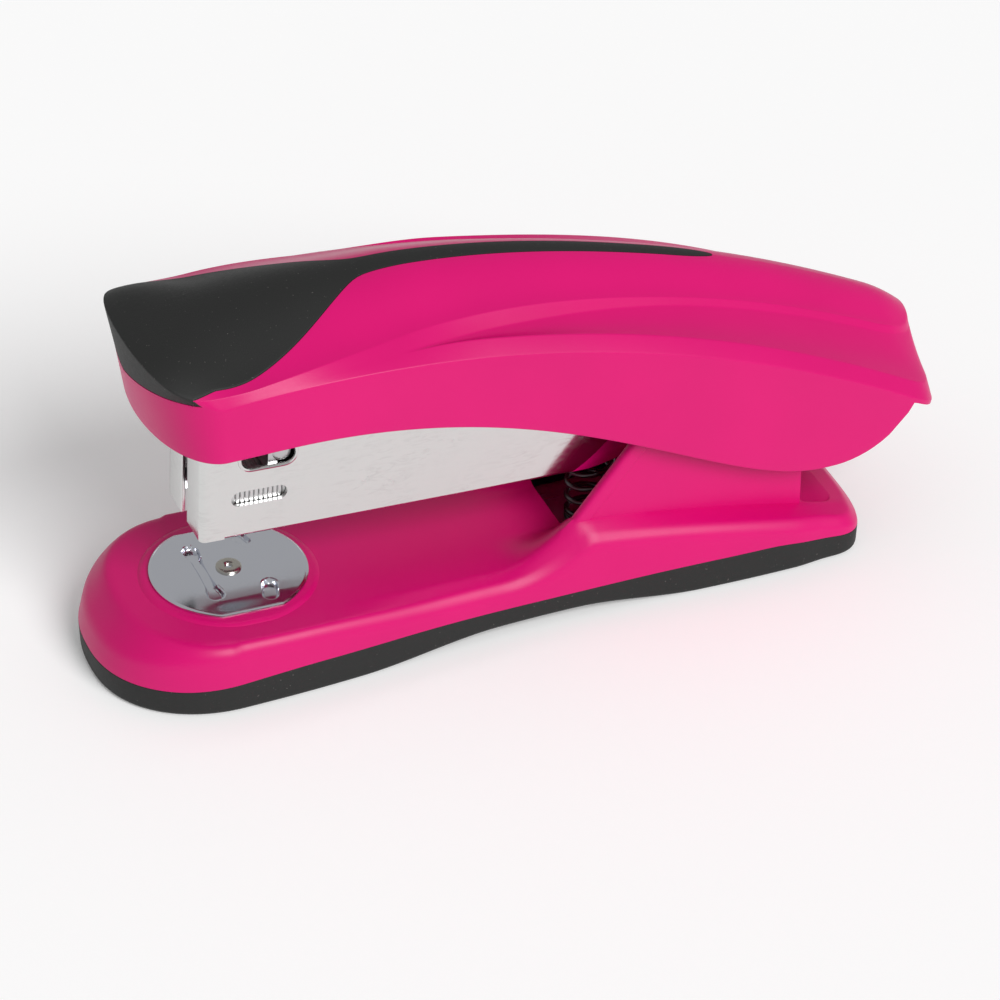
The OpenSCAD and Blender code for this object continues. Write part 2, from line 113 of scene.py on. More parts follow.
class MagazineSettings(bpy.types.PropertyGroup):
    half_width: length("Half width", "From the centre plane to a side of the channel, mm", 7.2, 7.1, 7.3)
    sheet: length("Sheet", "Thickness of the chromed sheet, mm", 0.6, 0.5, 0.7)
    staples: bpy.props.IntProperty(
        name="Staples", description="Staples in the loaded strip", default=34, min=1, max=36
    )
    staple_pitch: length("Staple pitch", "Length of the strip for each staple, mm", 0.7, 0.68, 0.7)


class FinishSettings(bpy.types.PropertyGroup):
    plastic: colour("Plastic", "Colour of the moulded handle and base", (0.60, 0.001, 0.14))
    rubber: colour("Rubber", "Colour of the grip and the sole", (0.013, 0.0135, 0.013))
    chrome: colour("Chrome", "Tint of the chromed magazine", (0.66, 0.665, 0.655))
    anvil: colour("Anvil", "Tint of the anvil plate", (0.72, 0.74, 0.80))
    steel: colour("Steel", "Tint of the zinc-plated steel", (0.52, 0.52, 0.53))


# ---------------------------------------------------------------- places and small maths


def place(t, y, z):
    """A point in the shared frame from millimetres behind the rivet, across and up."""
    return Vector((RIVET.x + t * MM, y * MM, z * MM))


def hinge_place(u, y, w):
    """A point given in the magazine's own tilted millimetres, with its zero on the hinge pin."""
    c, s = math.cos(TILT), math.sin(TILT)
    return HINGE + MM * Vector((u * c + w * s, y, -u * s + w * c))


def deck_place(a, b, h):
    """A point over the anvil: a back, b across and h square to the sloping deck, from the rivet."""
    c, s = math.cos(DECK_FALL), math.sin(DECK_FALL)
    return RIVET + MM * Vector((a * c + h * s, b, -a * s + h * c))


def ease(v):
    """A smooth step from 0 to 1."""
    v = min(1.0, max(0.0, v))
    return v * v * (3 - 2 * v)


def mix(a, b, v):
    """The value a share v of the way from a to b."""
    return a + (b - a) * v


def spread(a, b, n):
    """n + 1 even steps from a to b."""
    return [a + (b - a) * i / n for i in range(n + 1)]


def eased_path(corners, steps=4):
    """Points through corners of (point, radius), each corner with a radius turned into a short curve."""
    out = []
    last = len(corners) - 1
    for i, (point, radius) in enumerate(corners):
        if radius <= 0 or i in (0, last):
            out.append(point)
            continue
        arms = []
        for other in (corners[i - 1][0], corners[i + 1][0]):
            arm = other - point
            reach = min(radius, arm.length * 0.45)
            arms.append(point + arm.normalized() * reach if arm.length > 1e-9 else point.copy())
        for k in range(steps + 1):
            s = k / steps
            out.append(arms[0] * (1 - s) ** 2 + point * (2 * s * (1 - s)) + arms[1] * s * s)
    return out


# ---------------------------------------------------------------- meshes


def piece_from(name, bm, sharp=35.0, merge=4e-7):
    """A finished object from a bmesh in the shared frame, closed, with its normals outwards."""
    bmesh.ops.remove_doubles(bm, verts=bm.verts, dist=merge)
    bmesh.ops.dissolve_degenerate(bm, edges=bm.edges, dist=merge)
    bmesh.ops.recalc_face_normals(bm, faces=bm.faces)
    mesh = bpy.data.meshes.new(name)
    bm.to_mesh(mesh)
    bm.free()
    mesh.shade_smooth()
    mesh.set_sharp_from_angle(angle=math.radians(sharp))
    piece = bpy.data.objects.new(name, mesh)
    bpy.context.scene.collection.objects.link(piece)
    return piece


def drawn(name, draw, *what, sharp=35.0):
    """A finished object from one drawing: draw(bm, *what) draws it."""
    bm = bmesh.new()
    draw(bm, *what)
    return piece_from(name, bm, sharp)


def add_grid(bm, rows, wrap=False):
    """Quads between rows of equally many points. wrap joins each row's end to its start."""
    if len({len(row) for row in rows}) != 1:
        raise ValueError("the rows of a grid differ in length")
    made = [[bm.verts.new(p) for p in row] for row in rows]
    count = len(made[0])
    for a, b in zip(made, made[1:]):
        for j in range(count if wrap else count - 1):
            k = (j + 1) % count
            bm.faces.new((a[j], a[k], b[k], b[j]))
    return made


def add_mirrored_grid(bm, rows):
    """The same grid on both sides of the centre plane."""
    add_grid(bm, rows)
    add_grid(bm, [[Vector((p.x, -p.y, p.z)) for p in row] for row in rows])


def add_tube(bm, rings):
    """A closed tube through rings of points, with a flat cap at each end."""
    made = add_grid(bm, rings, wrap=True)
    bm.faces.new(made[0])
    bm.faces.new(made[-1])


def add_prism(bm, outline, low, high, put):
    """An outline of (a, b) given thickness from low to high; put(a, b, c) gives each place."""
    add_tube(bm, [[put(a, b, c) for a, b in outline] for c in (low, high)])


def add_round(bm, profile, put, around=40):
    """A turned piece: a profile of (radius, height) from axis to axis; put(a, b, h) gives each place."""
    rings = []
    for radius, height in profile:
        ring = []
        for k in range(around):
            angle = 2 * math.pi * k / around
            ring.append(put(radius * math.cos(angle), radius * math.sin(angle), height))
        rings.append(ring)
    add_grid(bm, rings, wrap=True)


def slot_outline(centre, long, wide, steps=10):
    """A level slot with round ends."""
    half, radius = (long - wide) / 2, wide / 2
    out = []
    for side, start in ((1, -90), (-1, 90)):
        for k in range(steps + 1):
            angle = math.radians(start + 180 * k / steps)
            out.append(
                (centre[0] + side * half + radius * math.cos(angle), centre[1] + radius * math.sin(angle))
            )
    return out


def rounded_outline(points, steps=5):
    """A closed outline from (a, b, radius) corners."""
    ring = [(Vector((a, b, 0)), r) for a, b, r in points]
    out = []
    for i, (point, radius) in enumerate(ring):
        before, after = ring[i - 1][0], ring[(i + 1) % len(ring)][0]
        bend = eased_path([(before, 0), (point, radius), (after, 0)], steps)
        out.extend((p.x, p.y) for p in bend[1:-1])
    return out


def cut(piece, operation, draw, *what):
    """The piece with a closed solid taken away or joined on: draw(bm, *what) draws that solid."""
    tool = drawn("tool", draw, *what)
    step = piece.modifiers.new("cut", "BOOLEAN")
    step.operation = operation
    step.solver = "EXACT"
    step.object = tool
    settle(piece)
    bpy.data.objects.remove(tool)


def settle(piece, sharp=35.0):
    """Turns a piece and its modifiers into a plain mesh."""
    depsgraph = bpy.context.evaluated_depsgraph_get()
    mesh = bpy.data.meshes.new_from_object(piece.evaluated_get(depsgraph))
    piece.modifiers.clear()
    old = piece.data
    piece.data = mesh
    mesh.name = piece.name
    bpy.data.meshes.remove(old)
    mesh.shade_smooth()
    mesh.set_sharp_from_angle(angle=math.radians(sharp))


def soften(piece, width, segments=2, angle=40.0):
    """Rounds a piece's sharp edges."""
    step = piece.modifiers.new("soften", "BEVEL")
    step.width = width * MM
    step.segments = segments
    step.limit_method = "ANGLE"
    step.angle_limit = math.radians(angle)
    step.use_clamp_overlap = True
    settle(piece, 30.0)


def fit_out(piece, body, slot, finish, *nodes):
    """Gives a finished piece its material and its body, and hides the nodes it stands for. The slot argument
    is not used.
    """
    piece.data.materials.clear()
    piece.data.materials.append(finish)
    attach(piece, body)
    if nodes:
        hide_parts(*nodes)


# ---------------------------------------------------------------- finishes


class Socket:
    """A number on its way through a material's nodes, so that shader maths reads as Python."""

    def __init__(self, shader, link):
        self.shader = shader
        self.link = link

    def maths(self, operation, a, b=0.0):
        return self.shader.node("ShaderNodeMath", {"operation": operation}, {0: a, 1: b})

    def __add__(self, other):
        return self.maths("ADD", self, other)

    __radd__ = __add__

    def __sub__(self, other):
        return self.maths("SUBTRACT", self, other)

    def __rsub__(self, other):
        return self.maths("SUBTRACT", other, self)

    def __mul__(self, other):
        return self.maths("MULTIPLY", self, other)

    __rmul__ = __mul__


class Shader:
    """A material made from a Principled surface and the nodes that feed it."""

    def __init__(self, name, **surface):
        self.material = bpy.data.materials.new(name)
        self.material.use_nodes = True
        self.tree = self.material.node_tree
        self.surface = self.tree.nodes["Principled BSDF"]
        for label, value in surface.items():
            self.surface.inputs[label.replace("_", " ")].default_value = value
        self.material.diffuse_color = tuple(surface.get("Base_Color", (0.8, 0.8, 0.8, 1.0)))

    def node(self, kind, settings=None, sockets=None, out=0):
        """A node of one kind: its settings first, then the values or links of its sockets."""
        made = self.tree.nodes.new(kind)
        for label, value in (settings or {}).items():
            setattr(made, label, value)
        for label, value in (sockets or {}).items():
            if isinstance(value, Socket):
                self.tree.links.new(value.link, made.inputs[label])
            else:
                made.inputs[label].default_value = value
        return Socket(self, made.outputs[out])

    def coords(self):
        """Object coordinates, in metres."""
        return self.node("ShaderNodeTexCoord", out=3)

    def noise(self, scale, detail=3.0, rough=0.5, vector=None, distort=0.0):
        """Noise from 0 to 1, with its scale in waves per metre."""
        return self.node(
            "ShaderNodeTexNoise",
            sockets={
                "Vector": vector or self.coords(), "Scale": scale, "Detail": detail,
                "Roughness": rough, "Distortion": distort,
            },
        )

    def turned(self, turn, scale):
        """Object coordinates turned and stretched."""
        return self.node(
            "ShaderNodeMapping", sockets={"Vector": self.coords(), "Rotation": turn, "Scale": scale}
        )

    def blend(self, factor, a, b):
        """One colour turning into another."""
        settings = {"data_type": "RGBA"}
        return self.node("ShaderNodeMix", settings, {0: factor, 6: a, 7: b}, out=2)

    def between(self, value, low, high):
        """0 below low, 1 above high and a ramp between."""
        return self.node(
            "ShaderNodeMapRange", {"clamp": True}, {"Value": value, "From Min": low, "From Max": high}
        )

    def bump(self, height, distance, strength=1.0):
        """A surface raised by up to distance millimetres."""
        return self.node(
            "ShaderNodeBump", sockets={"Height": height, "Distance": distance * MM, "Strength": strength}
        )

    def feed(self, label, value):
        """Joins a varying value to the surface."""
        self.tree.links.new(value.link, self.surface.inputs[label])


def rgba(tint, gain=1.0):
    """A colour, made lighter or darker by gain, with full alpha."""
    return (tint[0] * gain, tint[1] * gain, tint[2] * gain, 1.0)


def moulded_plastic(tint):
    """Satin moulded plastic with a spark-eroded grain and a slow drift of tone."""
    s = Shader("moulded_plastic", Base_Color=rgba(tint), Roughness=0.34, Specular_IOR_Level=0.26)
    drift = s.between(s.noise(55.0, 2.0), 0.3, 0.7)
    s.feed("Base Color", s.blend(drift, rgba(tint, 0.97), rgba(tint, 1.03)))
    grain = s.noise(5200.0, 2.0, 0.6)
    s.feed("Roughness", s.noise(900.0, 2.0) * 0.06 + 0.33)
    s.feed("Normal", s.bump(grain, 0.012))
    return s.material


def soft_rubber(name, tint):
    """Matt rubber with a fine tooth and a few pale specks of dust."""
    s = Shader(name, Base_Color=rgba(tint), Roughness=0.62, Specular_IOR_Level=0.35)
    dust = s.between(s.noise(2600.0, 1.0), 0.74, 0.8)
    s.feed("Base Color", s.blend(dust * 0.5, rgba(tint), rgba(DUST)))
    s.feed("Roughness", s.noise(1400.0, 3.0) * 0.12 + 0.56)
    s.feed("Normal", s.bump(s.noise(4200.0, 3.0, 0.6), 0.025))
    return s.material


def chromed_sheet(tint):
    """Bright plated sheet with faint smudges."""
    s = Shader("chromed_sheet", Base_Color=rgba(tint), Metallic=1.0, Roughness=0.12)
    cloud = s.between(s.noise(90.0, 3.0, 0.6, distort=0.6), 0.42, 0.68)
    whorl = s.noise(260.0, 4.0, 0.65, s.turned((0.0, 0.5, 0.2), (1.0, 1.0, 4.0)), 1.8)
    smudge = s.between(whorl, 0.48, 0.62) * cloud
    s.feed("Roughness", smudge * 0.16 + s.noise(500.0, 2.0) * 0.03 + 0.1)
    s.feed("Base Color", s.blend(smudge, rgba(tint), rgba(tint, 0.93)))
    s.feed("Normal", s.bump(s.noise(70.0, 2.0), 0.05, 0.35))
    return s.material


def plated_anvil(tint):
    """Bright, slightly blue plating over pressed steel."""
    s = Shader("plated_anvil", Base_Color=rgba(tint), Metallic=1.0, Roughness=0.13)
    s.feed("Roughness", s.noise(420.0, 3.0) * 0.1 + 0.08)
    s.feed("Normal", s.bump(s.noise(160.0, 2.0), 0.04, 0.4))
    return s.material


def drawn_steel(name, tint, rough, turn=(0.0, 0.0, 0.0)):
    """Plated or drawn steel, brushed along one direction."""
    s = Shader(name, Base_Color=rgba(tint), Metallic=1.0, Roughness=rough)
    brushed = s.noise(900.0, 3.0, 0.6, s.turned(turn, (0.08, 1.0, 1.0)))
    s.feed("Roughness", brushed * 0.16 + (rough - 0.08))
    s.feed("Normal", s.bump(brushed, 0.006))
    return s.material


def black_moulding():
    """The satin black plastic of the pusher and the spacers."""
    s = Shader("black_moulding", Base_Color=rgba(BLACK), Roughness=0.42)
    s.feed("Normal", s.bump(s.noise(3500.0, 2.0), 0.012))
    return s.material


DUST = (0.16, 0.15, 0.14)
BLACK = (0.02, 0.02, 0.021)
NICKEL = (0.52, 0.5, 0.45)
# a dark steel tint that paints the return spring into the shade under the handle; the real spring is bright
# wire
SPRING_SHADE_TINT = (0.10, 0.10, 0.105)
BRIGHT_WIRE = (0.6, 0.6, 0.6)
FINISHES = {}


def make_finishes(tints):
    """One material for each of the record's slots."""
    FINISHES["magenta_plastic"] = moulded_plastic(tints.plastic)
    FINISHES["black_rubber"] = soft_rubber("soft_rubber", tints.rubber)
    FINISHES["black_plastic"] = black_moulding()
    FINISHES["chrome_sheet"] = chromed_sheet(tints.chrome)
    FINISHES["chrome_anvil"] = plated_anvil(tints.anvil)
    FINISHES["steel"] = drawn_steel("zinc_steel", tints.steel, 0.3)
    FINISHES["rivet"] = drawn_steel("rivet_nickel", NICKEL, 0.26)
    # a dark copy of the steel that paints shade onto the return spring
    FINISHES["blued_wire"] = drawn_steel("blued_wire", SPRING_SHADE_TINT, 0.3)
    FINISHES["spring_wire"] = drawn_steel("spring_wire", BRIGHT_WIRE, 0.24)
    FINISHES["staple_wire"] = drawn_steel("staple_wire", BRIGHT_WIRE, 0.32)


# ---------------------------------------------------------------- handle

# where the handle's straight body ends and its rounded nose and heel begin
NOSE = -4.5
HEEL = 98.0
# how far round the nose the rubber reaches, from straight ahead
GRIP_CORNER = math.radians(71.0)
GRIP_TAIL = 76.0
# the lower edge: its height at the nose and under the hinge, where its S begins and ends, and how far
# along the S is pulled from each end
LOW_FRONT = 42.7
LOW_REAR = 16.8
LOW_START = 4.0
LOW_END = 88.0
LOW_PULLS = (48.0, 70.0)
# the round under the hinge: its centre's place and height, and its radius
HINGE_ROUND = (88.9, 31.3, 14.5)
# how much of the waist's width is also taken off the height of the side panel
WAIST_FALL = 0.67
# how square the heel's plan is: 1 is an ellipse
HEEL_SQUARE = 0.4
# a section under the rubber repeats its foot this often, so that every section has as many points
FOLDED = 32


def crest_height(t):
    """Height of the crown along the centre plane: a long arch that falls faster past the heel."""
    size = bpy.context.scene.stapler_handle
    fuller = 0.5 * ease((t - 16) / 12) * (1 - ease((t - 30) / 35))
    return size.crest + fuller - 0.00304 * (t - 14) ** 2 - 0.03 * max(0.0, t - 102) ** 2


def ridge_half(t):
    """From the centre plane to the crown's edge."""
    return 6.2 + 9.6 / (1 + ((t + 5) / 44) ** 2) - 1.1 * ease(t / 30)


def crown_height(t, y):
    """The crown arches between its two edges: nearly flat over the nose, then fuller in the middle."""
    half = ridge_half(t)
    out = min(1.1, abs(y / half)) ** 2
    arch = (0.36 * half - 0.4 + 1.3 * ease(t / 30)) * (1.6 * out - 0.6 * out * out)
    return crest_height(t) - mix(arch, 4.15 * out ** 1.8, ease((1 - t) / 12))


def handle_waist(t):
    """How much the side panel is drawn in: half as much at the nose as in the middle, none at the hinge."""
    waist, middle = bpy.context.scene.stapler_handle.waist, 42
    if t < middle:
        return waist * mix(0.5, 1.0, ease(t / middle))
    return waist * ease((2 * middle - t) / middle)


def side_top(t):
    """Height of the side panel's upper edge."""
    return 52.1 - 0.00314 * (t - 10) ** 2 - WAIST_FALL * handle_waist(t)


def low_edge(t):
    """Height of the shell's lower edge: level at the nose, an S, then round under the hinge."""
    if t < LOW_START:
        return LOW_FRONT - WAIST_FALL * handle_waist(t)
    if t < LOW_END:
        low, high = 0.0, 1.0
        for _ in range(26):
            s = (low + high) / 2
            r = 1 - s
            along = LOW_START * r ** 3 + LOW_END * s ** 3 + 3 * r * s * (LOW_PULLS[0] * r + LOW_PULLS[1] * s)
            low, high = (s, high) if along < t else (low, s)
        return mix(LOW_FRONT, LOW_REAR, 3 * s * s - 2 * s ** 3) - WAIST_FALL * handle_waist(t)
    centre, height, radius = HINGE_ROUND
    return min(side_top(t) - 0.8, height - math.sqrt(max(0.0, radius ** 2 - (t - centre) ** 2)))


def plan_point(zone, v, nose_reach, heel_reach, half, power):
    """Where an outline passes a station: straight along the body, and round the nose or heel."""
    if zone == "body":
        return v, half(v)
    along = max(0.0, math.cos(v)) ** power
    across = max(0.0, math.sin(v)) ** power
    if zone == "nose":
        return NOSE - nose_reach * along, half(NOSE) * across
    return HEEL + heel_reach * along, half(HEEL) * across


def grip_half(t):
    """Half width of the rubber inlay on the crown: a leaf that runs back into a narrow tail."""
    turn = math.cos(min(math.pi, QUARTER * max(0.0, (t - NOSE) / 24.5) ** 0.94))
    leaf = (turn + math.sqrt(turn * turn + 0.012)) / 2
    tail = math.sqrt(max(0.0, 1 - max(0.0, (t - 69) / 7) ** 2))
    return (12.85 * leaf + 1.75 - 0.014 * max(0.0, t - 22)) * tail


def handle_stations():
    """Where the sections stand: round the heel, forward along the body and round the nose."""
    out = [("heel", a) for a in spread(0.0, QUARTER, 26)[:-1]]
    # the sections crowd together where the inlay's tail comes to its rounded end
    body = spread(HEEL, GRIP_TAIL, 18) + [75.9, 75.7, 75.4, 75.0, 74.4, 73.6, 72.6, 71.4]
    body += spread(70, 40, 24)[:-1] + spread(40, 20, 20)[:-1] + spread(20, NOSE, 32)
    out += [("body", t) for t in body]
    out += [("nose", a) for a in spread(QUARTER, GRIP_CORNER + 1e-4, 10)[1:]]
    out += [("nose", a) for a in spread(GRIP_CORNER, 0.0, 34)]
    return out


def past_grip(v):
    """0 as far round the nose as the rubber reaches, then up to 1 at the side."""
    return max(0.0, (v - GRIP_CORNER) / (QUARTER - GRIP_CORNER))


def handle_corners(zone, v, size):
    """The places that shape one section of the handle: ridge, two chamfered bands and lower edge."""
    side = math.sin(v) if zone != "body" else 1.0
    nose = zone == "nose"

    def wide(t):
        return size.half_width - handle_waist(t)

    def ridge(t):
        return ridge_half(t) + (0.5 * (1 - side ** 8) if nose else 0.0)

    t, y = plan_point(zone, v, nose_reach=9.7, heel_reach=9.9, half=ridge, power=0.75)
    a1 = Vector((t, y, crown_height(t, y)))
    square = 1.0 if nose else HEEL_SQUARE
    t, y = plan_point(zone, v, nose_reach=9.2, heel_reach=9.1, half=wide, power=square)
    if nose:
        rubber_foot = 50.0 + 2.0 * math.sin(min(QUARTER, 1.25 * v))
        b2 = Vector((t, y, mix(rubber_foot, side_top(NOSE), past_grip(v))))
    else:
        b2 = Vector((t, y, side_top(t)))
    t, y = plan_point(zone, v, nose_reach=8.1, heel_reach=8.9, half=wide, power=square)
    low = Vector((t, y, low_edge(NOSE) + 0.3 * math.cos(v) if nose else low_edge(t)))
    shut = {"a2": a1.lerp(b2, 0.45), "b1": a1.lerp(b2, 0.55)}
    if nose:
        return {"a1": a1, "b2": b2, "low": low, "open": 0.0, **shut}
    at = min(v, HEEL) if zone == "body" else HEEL
    band = 0.75 + 0.6 * (1 - ease((at - 34) / 26))
    drop = 0.95 + 0.9 * (1 - ease((at - 38) / 32))
    open_ = ease((at - 22) / 16)
    t, y = plan_point(zone, v, 0.0, 9.95, lambda s: ridge_half(s) + band, 0.75)
    a2 = shut["a2"].lerp(Vector((t, y, a1.z - drop)), open_)
    t, y = plan_point(zone, v, 0.0, 8.9, lambda s: wide(s) - 2, HEEL_SQUARE)
    b1 = shut["b1"].lerp(Vector((t, y, side_top(t) + 1.95 + 1.2 * (1 - side))), open_)
    return {"a1": a1, "a2": a2, "b1": b1, "b2": b2, "low": low, "open": open_}


def crown_spot(zone, v, edge, share, drop=0.0):
    """A place on the crown, a share of the way from the centre to the ridge at this station."""
    if zone == "body":
        t, y = v, edge.y * share
    else:
        middle = NOSE if zone == "nose" else HEEL
        t, y = mix(middle, edge.x, share), edge.y * share
    return Vector((t, y, crown_height(t, y) - drop))


def grip_share(zone, v, edge):
    """How far across the crown the inlay reaches at this station."""
    if zone == "heel":
        return 0.0
    if zone == "nose":
        return 1 - 0.08 * past_grip(v)
    return min(0.995, grip_half(v) / edge.y) if v < GRIP_TAIL else 0.0


def inward(zone, point, by):
    """The same height, moved in from the outline towards the middle."""
    if zone == "body":
        return Vector((point.x, point.y - by, point.z))
    middle = Vector((NOSE if zone == "nose" else HEEL, 0.0, point.z))
    reach = point - middle
    return middle + reach * max(0.0, 1 - by / max(reach.length, 1e-6))


def bed_corners(zone, v, c, size):
    """The shell's outside under the rubber nose: the inlay's bed, down to the rubber's foot."""
    deep, foot = size.grip_depth, c["b2"]
    edge = inward(zone, c["a1"], deep + 0.2)
    corners = [(crown_spot(zone, v, edge, s, deep), 0) for s in spread(0, 1, 8)]
    corners += [(inward(zone, foot, deep + 0.1), 0), (foot, 0.1)]
    return corners + [(foot, 0)] * FOLDED + [(foot, 0.1)]


def bare_corners(zone, v, c, size):
    """The shell's outside beside and behind the rubber: crown, ridge and the two chamfered bands."""
    a1 = c["a1"]
    share, gap = grip_share(zone, v, a1), 0.05
    wide = min(1.0, share + gap / a1.y) if share > 0 else 0.0
    bed = size.grip_depth if share > 0 else 0.0
    corners = [(crown_spot(zone, v, a1, wide * s, bed), 0) for s in spread(0, 1, 8)]
    corners += [(crown_spot(zone, v, a1, wide, bed), 0), (crown_spot(zone, v, a1, wide), 0.12)]
    corners += [(crown_spot(zone, v, a1, mix(wide, 1, s)), 0) for s in spread(0, 1, 8)[1:-1]]
    ridge_round = size.edge + (2.2 * math.cos(v) ** 2 if zone == "heel" else 0.0)
    corners += [(crown_spot(zone, v, a1, mix(wide, 1, 0.97)), 0), (a1, ridge_round), (c["a2"], size.edge)]
    for s in spread(0, 1, 10)[1:-1]:
        spot = c["a2"].lerp(c["b1"], s)
        spot.z -= 0.3 * c["open"] * math.sin(math.pi * s)
        corners.append((spot, 0))
    return corners + [(c["b1"], size.edge), (c["b2"], size.edge)]


def shell_path(zone, v, size):
    """One section of the shell, from the outer crest round the lower edge to the ceiling."""
    c = handle_corners(zone, v, size)
    a1, b2, low = c["a1"], c["b2"], c["low"]
    covered = zone == "nose" and v <= GRIP_CORNER
    corners = (bed_corners if covered else bare_corners)(zone, v, c, size)
    corners += [(b2.lerp(low, s), 0) for s in spread(0, 1, 7)[1:-1]]
    inner_low = inward(zone, low, size.wall)
    corners += [(low, 0.3), (inner_low, 0.3)]
    cheek = inward(zone, b2, size.wall + 0.3)
    cheek.z -= 1.0
    ceiling = 2.0
    under = inward(zone, a1, 1.4)
    under.z -= ceiling
    corners += [(inner_low.lerp(cheek, s), 0) for s in spread(0, 1, 4)[1:-1]]
    corners += [(cheek, 0.6), (under, 0.8)]
    for s in spread(1, 0, 7)[1:]:
        spot = crown_spot(zone, v, under, s, ceiling)
        spot.z = min(spot.z, under.z + crown_height(spot.x, spot.y) - crown_height(under.x, under.y))
        corners.append((spot, 0))
    return [place(*p) for p in eased_path(corners)]


def make_handle_shell(size):
    sections = [shell_path(zone, v, size) for zone, v in handle_stations()]
    return drawn("handle_shell", add_mirrored_grid, sections)


def inlay_path(zone, v, size):
    """One section of the rubber inlay, from its top round its edge to its underside."""
    c = handle_corners(zone, v, size)
    a1, b2 = c["a1"], c["b2"]
    share = grip_share(zone, v, a1)
    deep = size.grip_depth - 0.05
    proud = 0.06
    corners = [(crown_spot(zone, v, a1, share * s, -proud), 0) for s in spread(0, 0.97, 12)]
    rim = crown_spot(zone, v, a1, share, -proud)
    if zone == "nose" and v <= GRIP_CORNER:
        foot = inward(zone, b2, deep)
        foot.z += proud
        lip = b2.copy()
        lip.z += proud
        under = inward(zone, a1, deep + 0.1)
        corners += [(rim, 0.45), (lip, 0.2), (foot, 0)]
    else:
        under = a1
        wall = crown_spot(zone, v, a1, share, deep)
        corners += [(rim, 0.35), (rim.lerp(wall, 0.6), 0.1), (wall, 0)]
    corners += [(crown_spot(zone, v, under, share * s, deep), 0) for s in spread(1, 0, 8)]
    return [place(*p) for p in eased_path(corners)]


def make_grip_inlay(size):
    sections = [
        inlay_path(zone, v, size) for zone, v in handle_stations()
        if zone == "nose" or (zone == "body" and v <= GRIP_TAIL)
    ]
    return drawn("grip_inlay", add_mirrored_grid, sections)


# ---------------------------------------------------------------- base

# where the base's straight sides end and its rounded nose and heel begin, and how far those reach
BASE_NOSE = -4.0
BASE_HEEL = 88.0
NOSE_REACH = 18.0
HEEL_REACH = 8.0
HOUSING_WALL = 1.6
# the hinge column's cheeks, from the centre plane
CHEEK_IN = 11.6
CHEEK_OUT = 13.6
# how far in from the side the top's edge lies
EDGE_INSET = 1.2
# the pocket that the anvil plate turns in
POCKET = 10.6
POCKET_DEEP = 1.6
RIVET_BORE = 1.35
SLOPE = math.tan(DECK_FALL)
# a sole screw: its hole in the housing, its recess in the sole and its head
SCREW_HOLE = 1.3
SCREW_RECESS = 2.6
SCREW_HEAD = 2.3


def base_half(t):
    """From the centre plane to the base's side, drawn in at the waist and tapering past it."""
    size, waist_end = bpy.context.scene.stapler_base, 84
    dip = size.waist * (1 - math.cos(2 * math.pi * t / waist_end)) / 2 if 0 < t < waist_end else 0.0
    return size.half_width - dip - 0.1 * max(0.0, t - waist_end)


def seam_height(t):
    """Height of the seam along the side: lower at both ends and slightly so at the waist."""
    seam = bpy.context.scene.stapler_base.seam
    dip = 0.45 * math.sin(math.pi * ease((t - 20) / 50))
    return seam + 0.9 * ease((t + 14) / 22) - dip - 1.5 * ease((t - 78) / 16)


def sole_top(t):
    """Height of the sole's top inside the housing."""
    return 3.4 + 0.9 * ease(t / 30) * ease((84 - t) / 30)


def sole_low(t):
    """Height of the sole's underside: the arch between its two feet."""
    return bpy.context.scene.stapler_base.arch * ease((t - 14) / 22) * ease((68 - t) / 20)


def deck_height(t):
    """The deck falls gently from the nose to the well, and rises again behind the column."""
    deck = RIVET.z / MM - t * SLOPE
    return mix(deck, foot_height(t), ease((t - 70) / 10))


def foot_height(t):
    """Height of the shoulder where the column's cheek stands on it."""
    return 16 - 0.13 * (t - 48) - 0.0018 * (t - 48) ** 2


def rim_height(t):
    """Height of the top's outer edge: along the deck, sweeping up to a corner, then the shoulder."""
    deck = RIVET.z / MM + 0.15 - t * SLOPE - 0.8 * ease((t - 5) / 22)
    shoulder = 13.8 - 0.10 * (t - 50) - 0.0018 * (t - 50) ** 2
    climb = min(1.0, max(0.0, (t - 37) / 13.4))
    return mix(deck, shoulder, climb ** 2)


def base_top(t, y, edge):
    """Height of the base's top between the centre and its edge of (half width, height)."""
    deck = deck_height(t)
    rise = (foot_height(t) - deck) * min(1.0, max(0.0, (t - 36.5) / 12.5)) ** 2
    ramp_start, ramp_end = 5.0, min(13.1, edge[0] - 0.3)
    if y > ramp_end:
        return mix(deck + rise, edge[1], (y - ramp_end) / (edge[0] - ramp_end))
    return deck + rise * ease((y - ramp_start) / (ramp_end - ramp_start))


def base_stations():
    """Where the sections stand: round the heel, forward along the body and round the nose."""
    out = [("heel", a) for a in spread(0.0, QUARTER, 18)[:-1]]
    out += [("body", t) for t in spread(BASE_HEEL, BASE_NOSE, 84)]
    return out + [("nose", a) for a in spread(QUARTER, 0.0, 30)[1:]]


def base_outline(zone, v, nose_reach, heel_reach, inset, power=1.0):
    """A plan outline of the base, set in from its widest one."""
    if zone == "body":
        return v, base_half(v) - inset
    along, across = max(0.0, math.cos(v)), max(0.0, math.sin(v))
    if zone == "nose":
        half = base_half(BASE_NOSE) - inset
        return BASE_NOSE - nose_reach * along ** power, half * across ** 0.85
    half = base_half(BASE_HEEL) - inset
    return BASE_HEEL + heel_reach * along ** 0.5, half * across ** 0.5


